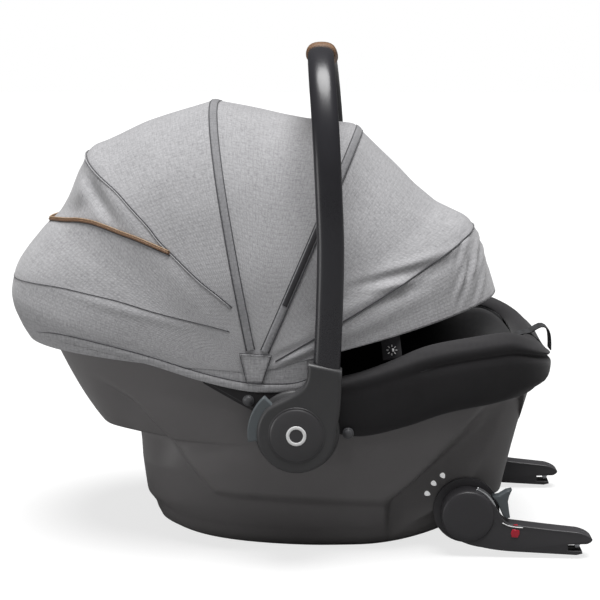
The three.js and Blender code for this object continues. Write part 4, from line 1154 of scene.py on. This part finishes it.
for base, x, z in (("cover_stud_rear", -103, 196), ("cover_stud_front", 9, 157)):
    for name, sign in pair(base):
        seat_y = min(abs(corner[1]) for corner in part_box(name)) / MM
        profile = [(r, seat_y + y) for r, y in STUD_PROFILE]
        lathe_y(f"{name}_cap", x, z, profile, STUD_LOOK, sign, 40, replaces=[name])

# ------------------------------------------------------------------ anchor connectors
ARM = [(276, 3.8), (283, 5.6), (282.4, 8.8), (266, 8.8), (266, 16.2), (288, 17.2)]


def corner(a, c, b):
    """A rounded corner from a to b, bent towards c."""
    a, b, c = (np.array(p, float) for p in (a, b, c))
    return bezier(a, mix(a, c, 2 / 3), mix(b, c, 2 / 3), b, 9)[1:]


def arm_outline():
    x, z, hub = ISOFIX["x"], ISOFIX["z"], ISOFIX["hub"]
    out = list(ARM)
    out += corner((288, 17.2), (294.5, 20), (294, 23))
    out += corner((294, 23), (289, 29), (277, 31.5))
    out += [(240, 35.2), (202, 39.6)]
    out += corner((202, 39.6), (191, 41), (187, 50))
    out += corner((187, 50), (180, 64), (x + hub * math.cos(0.75), z + hub * math.sin(0.75)))
    out += arc(x, z, hub, 0.75, math.pi + 0.75, 32)[1:]
    out += corner(out[-1], (142, 14.5), (167, 11.5))
    out += corner((167, 11.5), (182, 8), (204, 7))
    out += [(240, 5.4)]
    return out


ARM_HUB_PROFILE = [(1, 151), (30.2, 151), (30.2, 152.2), (28.6, 153.4), (22, 154), (1, 154.4)]
FLAG = [(200, 25), (207, 24.4), (209.5, 29), (208.5, 33.6), (201, 34.6), (199, 30)]
# Path of the white line along the red flag window's upper edge: a painted highlight.
FLAG_HIGHLIGHT = [(189, 42), (193, 40), (199, 38), (206, 37), (213, 36.6)]
LEVER = [(194, 45.2), (198.5, 46.5), (197, 56), (195.5, 66), (197, 73), (200, 80), (193.5, 78.5), (185, 73),
         (177.5, 72), (182, 66.5), (186.5, 57), (190, 49)]

for name, sign in pair("isofix_arm"):
    plate(f"{name}_body", arm_outline(), ISOFIX["y0"], ISOFIX["y1"], ARM_LOOK, 3.0, 4, sign,
          body="connectors", replaces=[name])
    lathe_y(f"{name}_hub", ISOFIX["x"], ISOFIX["z"], ARM_HUB_PROFILE, ARM_LOOK, sign, body="connectors")
    ring = [(x, sign * 143, z) for x, z in arc(ISOFIX["x"], ISOFIX["z"], 32.2, 0.25, 1.25, 20)]
    sweep(f"{name}_glint", ring, round_section(1.1, 8, 3.0), CHROME, side=(0, 1, 0), body="connectors")
for name, sign in pair("isofix_flag"):
    plate(f"{name}_window", FLAG, 149, 152.6, RED_LOOK, 0.8, 2, sign, body="connectors")
    # A white cord drawn as a painted highlight over the window.
    flag_highlight = [(x, sign * 151.6, z) for x, z in fine(FLAG_HIGHLIGHT, 2)]
    sweep(f"{name}_edge", flag_highlight, round_section(0.6, 6), WHITE_PRINT_AND_HIGHLIGHT, body="connectors")
for name, sign in pair("isofix_lever"):
    plate(f"{name}_tab", LEVER, 133.2, 146.8, BUTTON_LOOK, 1.6, 3, sign, body=name, replaces=[name])
shell_tree = BVHTree.FromObject(shell, bpy.context.evaluated_depsgraph_get())


def shell_face(x, z):
    """How far out the shell's own face is at X and Z, in mm."""
    hit = shell_tree.ray_cast(Vector((x * MM, -0.3, z * MM)), Vector((0, 1, 0)))[0]
    return -hit.y / MM


MARK_RING = 49.5
for name, sign in pair("position_mark"):
    for k, degrees in enumerate((124.6, 141, 158)):
        a = math.radians(degrees)
        x, z = ISOFIX["x"] + MARK_RING * math.cos(a), ISOFIX["z"] + MARK_RING * math.sin(a)
        t = np.linspace(0, 2 * np.pi, 20, endpoint=False)
        u, v = -3.6 * np.cos(t), 2.9 * np.sin(t) * (1 - 0.35 * np.cos(t))
        c, s = math.cos(a), math.sin(a)
        outline = np.column_stack([x + u * c - v * s, z + u * s + v * c])
        face = max(shell_face(*point) for point in outline)
        plate(f"{name}_{k + 1}", outline, face - 16, face + 0.6, GLOWING_MARK, 0.4, 2, sign)

# ------------------------------------------------------------------ harness and head support

def on_back(x, lift):
    """A point over the seat's sloping back, lift away from it."""
    z = 252 + (98 - 252) * (x + 330) / 330
    return x + lift * 0.423, z + lift * 0.906


WEB_THICK = 1.8
WEB_WIDTH = 38


def strap(name, path, width, y, look, **more):
    xz = fine(path, 4)
    points = np.column_stack([xz[:, 0], np.full(len(xz), y), xz[:, 1]])
    w, t = width / 2, WEB_THICK / 2
    section = [(-w, -t * 0.6), (-w + 1, -t), (w - 1, -t), (w, -t * 0.6), (w, t * 0.6), (w - 1, t),
               (-w + 1, t), (-w, t * 0.6)]
    return sweep(name, points, section, look, side=(0, 1, 0), **more)


SHOULDER_Y = 37
SHOULDER = [(-178, 152), (-177, 178), on_back(-171, 10), on_back(-160, 13), on_back(-140, 13),
            on_back(-100, 11), on_back(-50, 11), on_back(-12, 13)]
PAD_LINE = [on_back(-153, 19), on_back(-140, 20), on_back(-100, 19), on_back(-58, 17.5)]
CROTCH = [(53, 46), (53, 84), (52, 92), (51, 97)]
for tag, y in (("left", SHOULDER_Y), ("right", -SHOULDER_Y)):
    strap(f"shoulder_web_{tag}", SHOULDER, WEB_WIDTH, y, WEB, replaces=[f"shoulder_strap_{tag}"])
    xz = fine(PAD_LINE, 4)
    path = np.column_stack([xz[:, 0], np.full(len(xz), y), xz[:, 1]])
    t = np.linspace(0, 1, len(path))
    ends = np.clip(np.sqrt(np.clip(1 - (2 * t - 1) ** 12, 0, 1)), 0.25, 1)
    section = np.array([oval_section(49 * (0.9 + 0.1 * e), 8 * e, 3.2, 24) for e in ends])
    pad = sweep(f"chest_cushion_{tag}", path, section, PAD, side=(0, 1, 0), replaces=[f"chest_pad_{tag}"])
strap("crotch_web", CROTCH, WEB_WIDTH, 0, WEB, replaces=["crotch_strap"])
PULL = [(168, 184), (180, 200), (193, 217), (208, 231), (222, 239.5), (234, 242), (241, 246.5),
        (248, 249.5), (254, 247.5), (257.5, 241), (259, 231), (259.3, 220)]
strap("pull_web", PULL, 26, 0, WEB, replaces=["adjuster_strap"])
dress(HUB_LOOK, "harness_buckle", "adjuster_housing")
dress(RED_LOOK, "buckle_button")
dress(BUTTON_LOOK, "adjuster_button")
for node in ("harness_buckle", "adjuster_housing", "buckle_button", "adjuster_button"):
    modify(NODES[node], "BEVEL", width=0.8 * MM, segments=2, angle_limit=math.radians(40))


def inflated(source, name, look, voxel=4.5, pressure=4.0, cap=8.0, shrink=2.0, frames=20):
    """A copy of a CAD node, remeshed and swelled with air."""
    obj = bpy.data.objects.new(name, source.data.copy())
    bpy.context.scene.collection.objects.link(obj)
    for o in bpy.context.selected_objects:
        o.select_set(False)
    bpy.context.view_layer.objects.active = obj
    obj.select_set(True)
    obj.data.materials.clear()
    obj.data.materials.append(look)
    modify(obj, "REMESH", mode="VOXEL", voxel_size=voxel * MM)
    modify(obj, "SMOOTH", factor=0.5, iterations=6)
    modify(obj, "DISPLACE", strength=-shrink * MM, mid_level=0.0)
    for m in list(obj.modifiers):
        bpy.ops.object.modifier_apply(modifier=m.name)
    before = np.array([v.co for v in obj.data.vertices])
    cloth = obj.modifiers.new("cloth", "CLOTH")
    cloth.settings.use_pressure = True
    cloth.settings.uniform_pressure_force = pressure
    cloth.settings.effector_weights.gravity = 0
    scene = bpy.context.scene
    for number in range(1, frames + 1):
        scene.frame_set(number)
    bpy.ops.object.modifier_apply(modifier=cloth.name)
    scene.frame_set(1)
    after = np.array([v.co for v in obj.data.vertices])
    move = after - before
    length = np.linalg.norm(move, axis=1, keepdims=True)
    after = before + move * np.minimum(1, cap * MM / np.maximum(length, 1e-9))
    obj.data.vertices.foreach_set("co", after.ravel())
    obj.data.polygons.foreach_set("use_smooth", [True] * len(obj.data.polygons))
    modify(obj, "SUBSURF", levels=1, render_levels=1)
    return obj


head = inflated(NODES["head_support"], "head_cushion", PAD)
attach(head, "head_support")
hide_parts("head_support")

# ------------------------------------------------------------------ stage, light and camera
FLOOR_HALF = 60
stage_look = Look("studio_floor")
cloud = stage_look.noise(0.6, 2)
pale = stage_look.ramp(cloud, [(0.3, (0.27, 0.27, 0.27)), (0.7, (0.29, 0.29, 0.29))])
stage_look.finish(pale, (cloud, 0.85, 0.95), Specular_IOR_Level=0.0, Emission_Color=(1, 1, 1, 1),
                  Emission_Strength=0.75)
dim = stage_look.node("ShaderNodeBsdfDiffuse")
dim.inputs["Color"].default_value = (0.25, 0.25, 0.25, 1)
shown = stage_look.node("ShaderNodeMixShader")
stage_look.link(stage_look.node("ShaderNodeLightPath").outputs["Is Camera Ray"], shown.inputs[0])
stage_look.link(dim.outputs[0], shown.inputs[1])
stage_look.link(stage_look.bsdf.outputs[0], shown.inputs[2])
stage_look.link(shown.outputs[0], stage_look.out.inputs[0])
floor_mesh = bpy.data.meshes.new("studio_floor")
corners = [(-FLOOR_HALF, -FLOOR_HALF, 0), (FLOOR_HALF, -FLOOR_HALF, 0), (FLOOR_HALF, FLOOR_HALF, 0),
           (-FLOOR_HALF, FLOOR_HALF, 0)]
floor_mesh.from_pydata(corners, [], [(0, 1, 2, 3)])
floor_mesh.materials.append(stage_look.material)
floor = bpy.data.objects.new("studio_floor", floor_mesh)
floor.location.z = -0.0005
bpy.context.scene.collection.objects.link(floor)

scene = bpy.context.scene
world = bpy.data.worlds.new("studio")
world.use_nodes = True
tree = world.node_tree
background = tree.nodes["Background"]
background.inputs["Color"].default_value = (1, 1, 1, 1)
level = tree.nodes.new("ShaderNodeMapRange")
level.inputs["To Min"].default_value = 0.1
level.inputs["To Max"].default_value = 1.0
tree.links.new(tree.nodes.new("ShaderNodeLightPath").outputs["Is Camera Ray"], level.inputs["Value"])
tree.links.new(level.outputs[0], background.inputs["Strength"])
scene.world = world
scene.view_settings.view_transform = "Standard"
scene.view_settings.look = "None"


def light(name, kind, energy, aim, **settings):
    """A light whose back points along aim."""
    data = bpy.data.lights.new(name, kind)
    data.energy = energy
    for key, value in settings.items():
        setattr(data, key, value)
    obj = bpy.data.objects.new(name, data)
    obj.rotation_euler = Vector(aim).to_track_quat("Z", "Y").to_euler()
    scene.collection.objects.link(obj)
    return obj


BOX_AT = Vector((-1.7, -0.9, 0.35))
BOX_TARGET = Vector((-0.25, -0.1, 0.15))
light("key", "SUN", 4.6, (0.05, -0.10, 1.0), angle=math.radians(40))
box = light("left_box", "AREA", 7, BOX_AT - BOX_TARGET, shape="RECTANGLE", size=0.7, size_y=0.9)
box.location = BOX_AT

CAMERA_AT = (0.01541, -1.67686, 0.54996)
CAMERA_DOWN = 9.174
CAMERA_TURN = 2.335
LENS = 81.36
camera_data = bpy.data.cameras.new("camera")
camera_data.sensor_width = 36
camera_data.lens = LENS
camera = bpy.data.objects.new("camera", camera_data)
camera.location = CAMERA_AT
camera.rotation_euler = (math.radians(90 - CAMERA_DOWN), 0, math.radians(CAMERA_TURN))
scene.collection.objects.link(camera)
scene.camera = camera
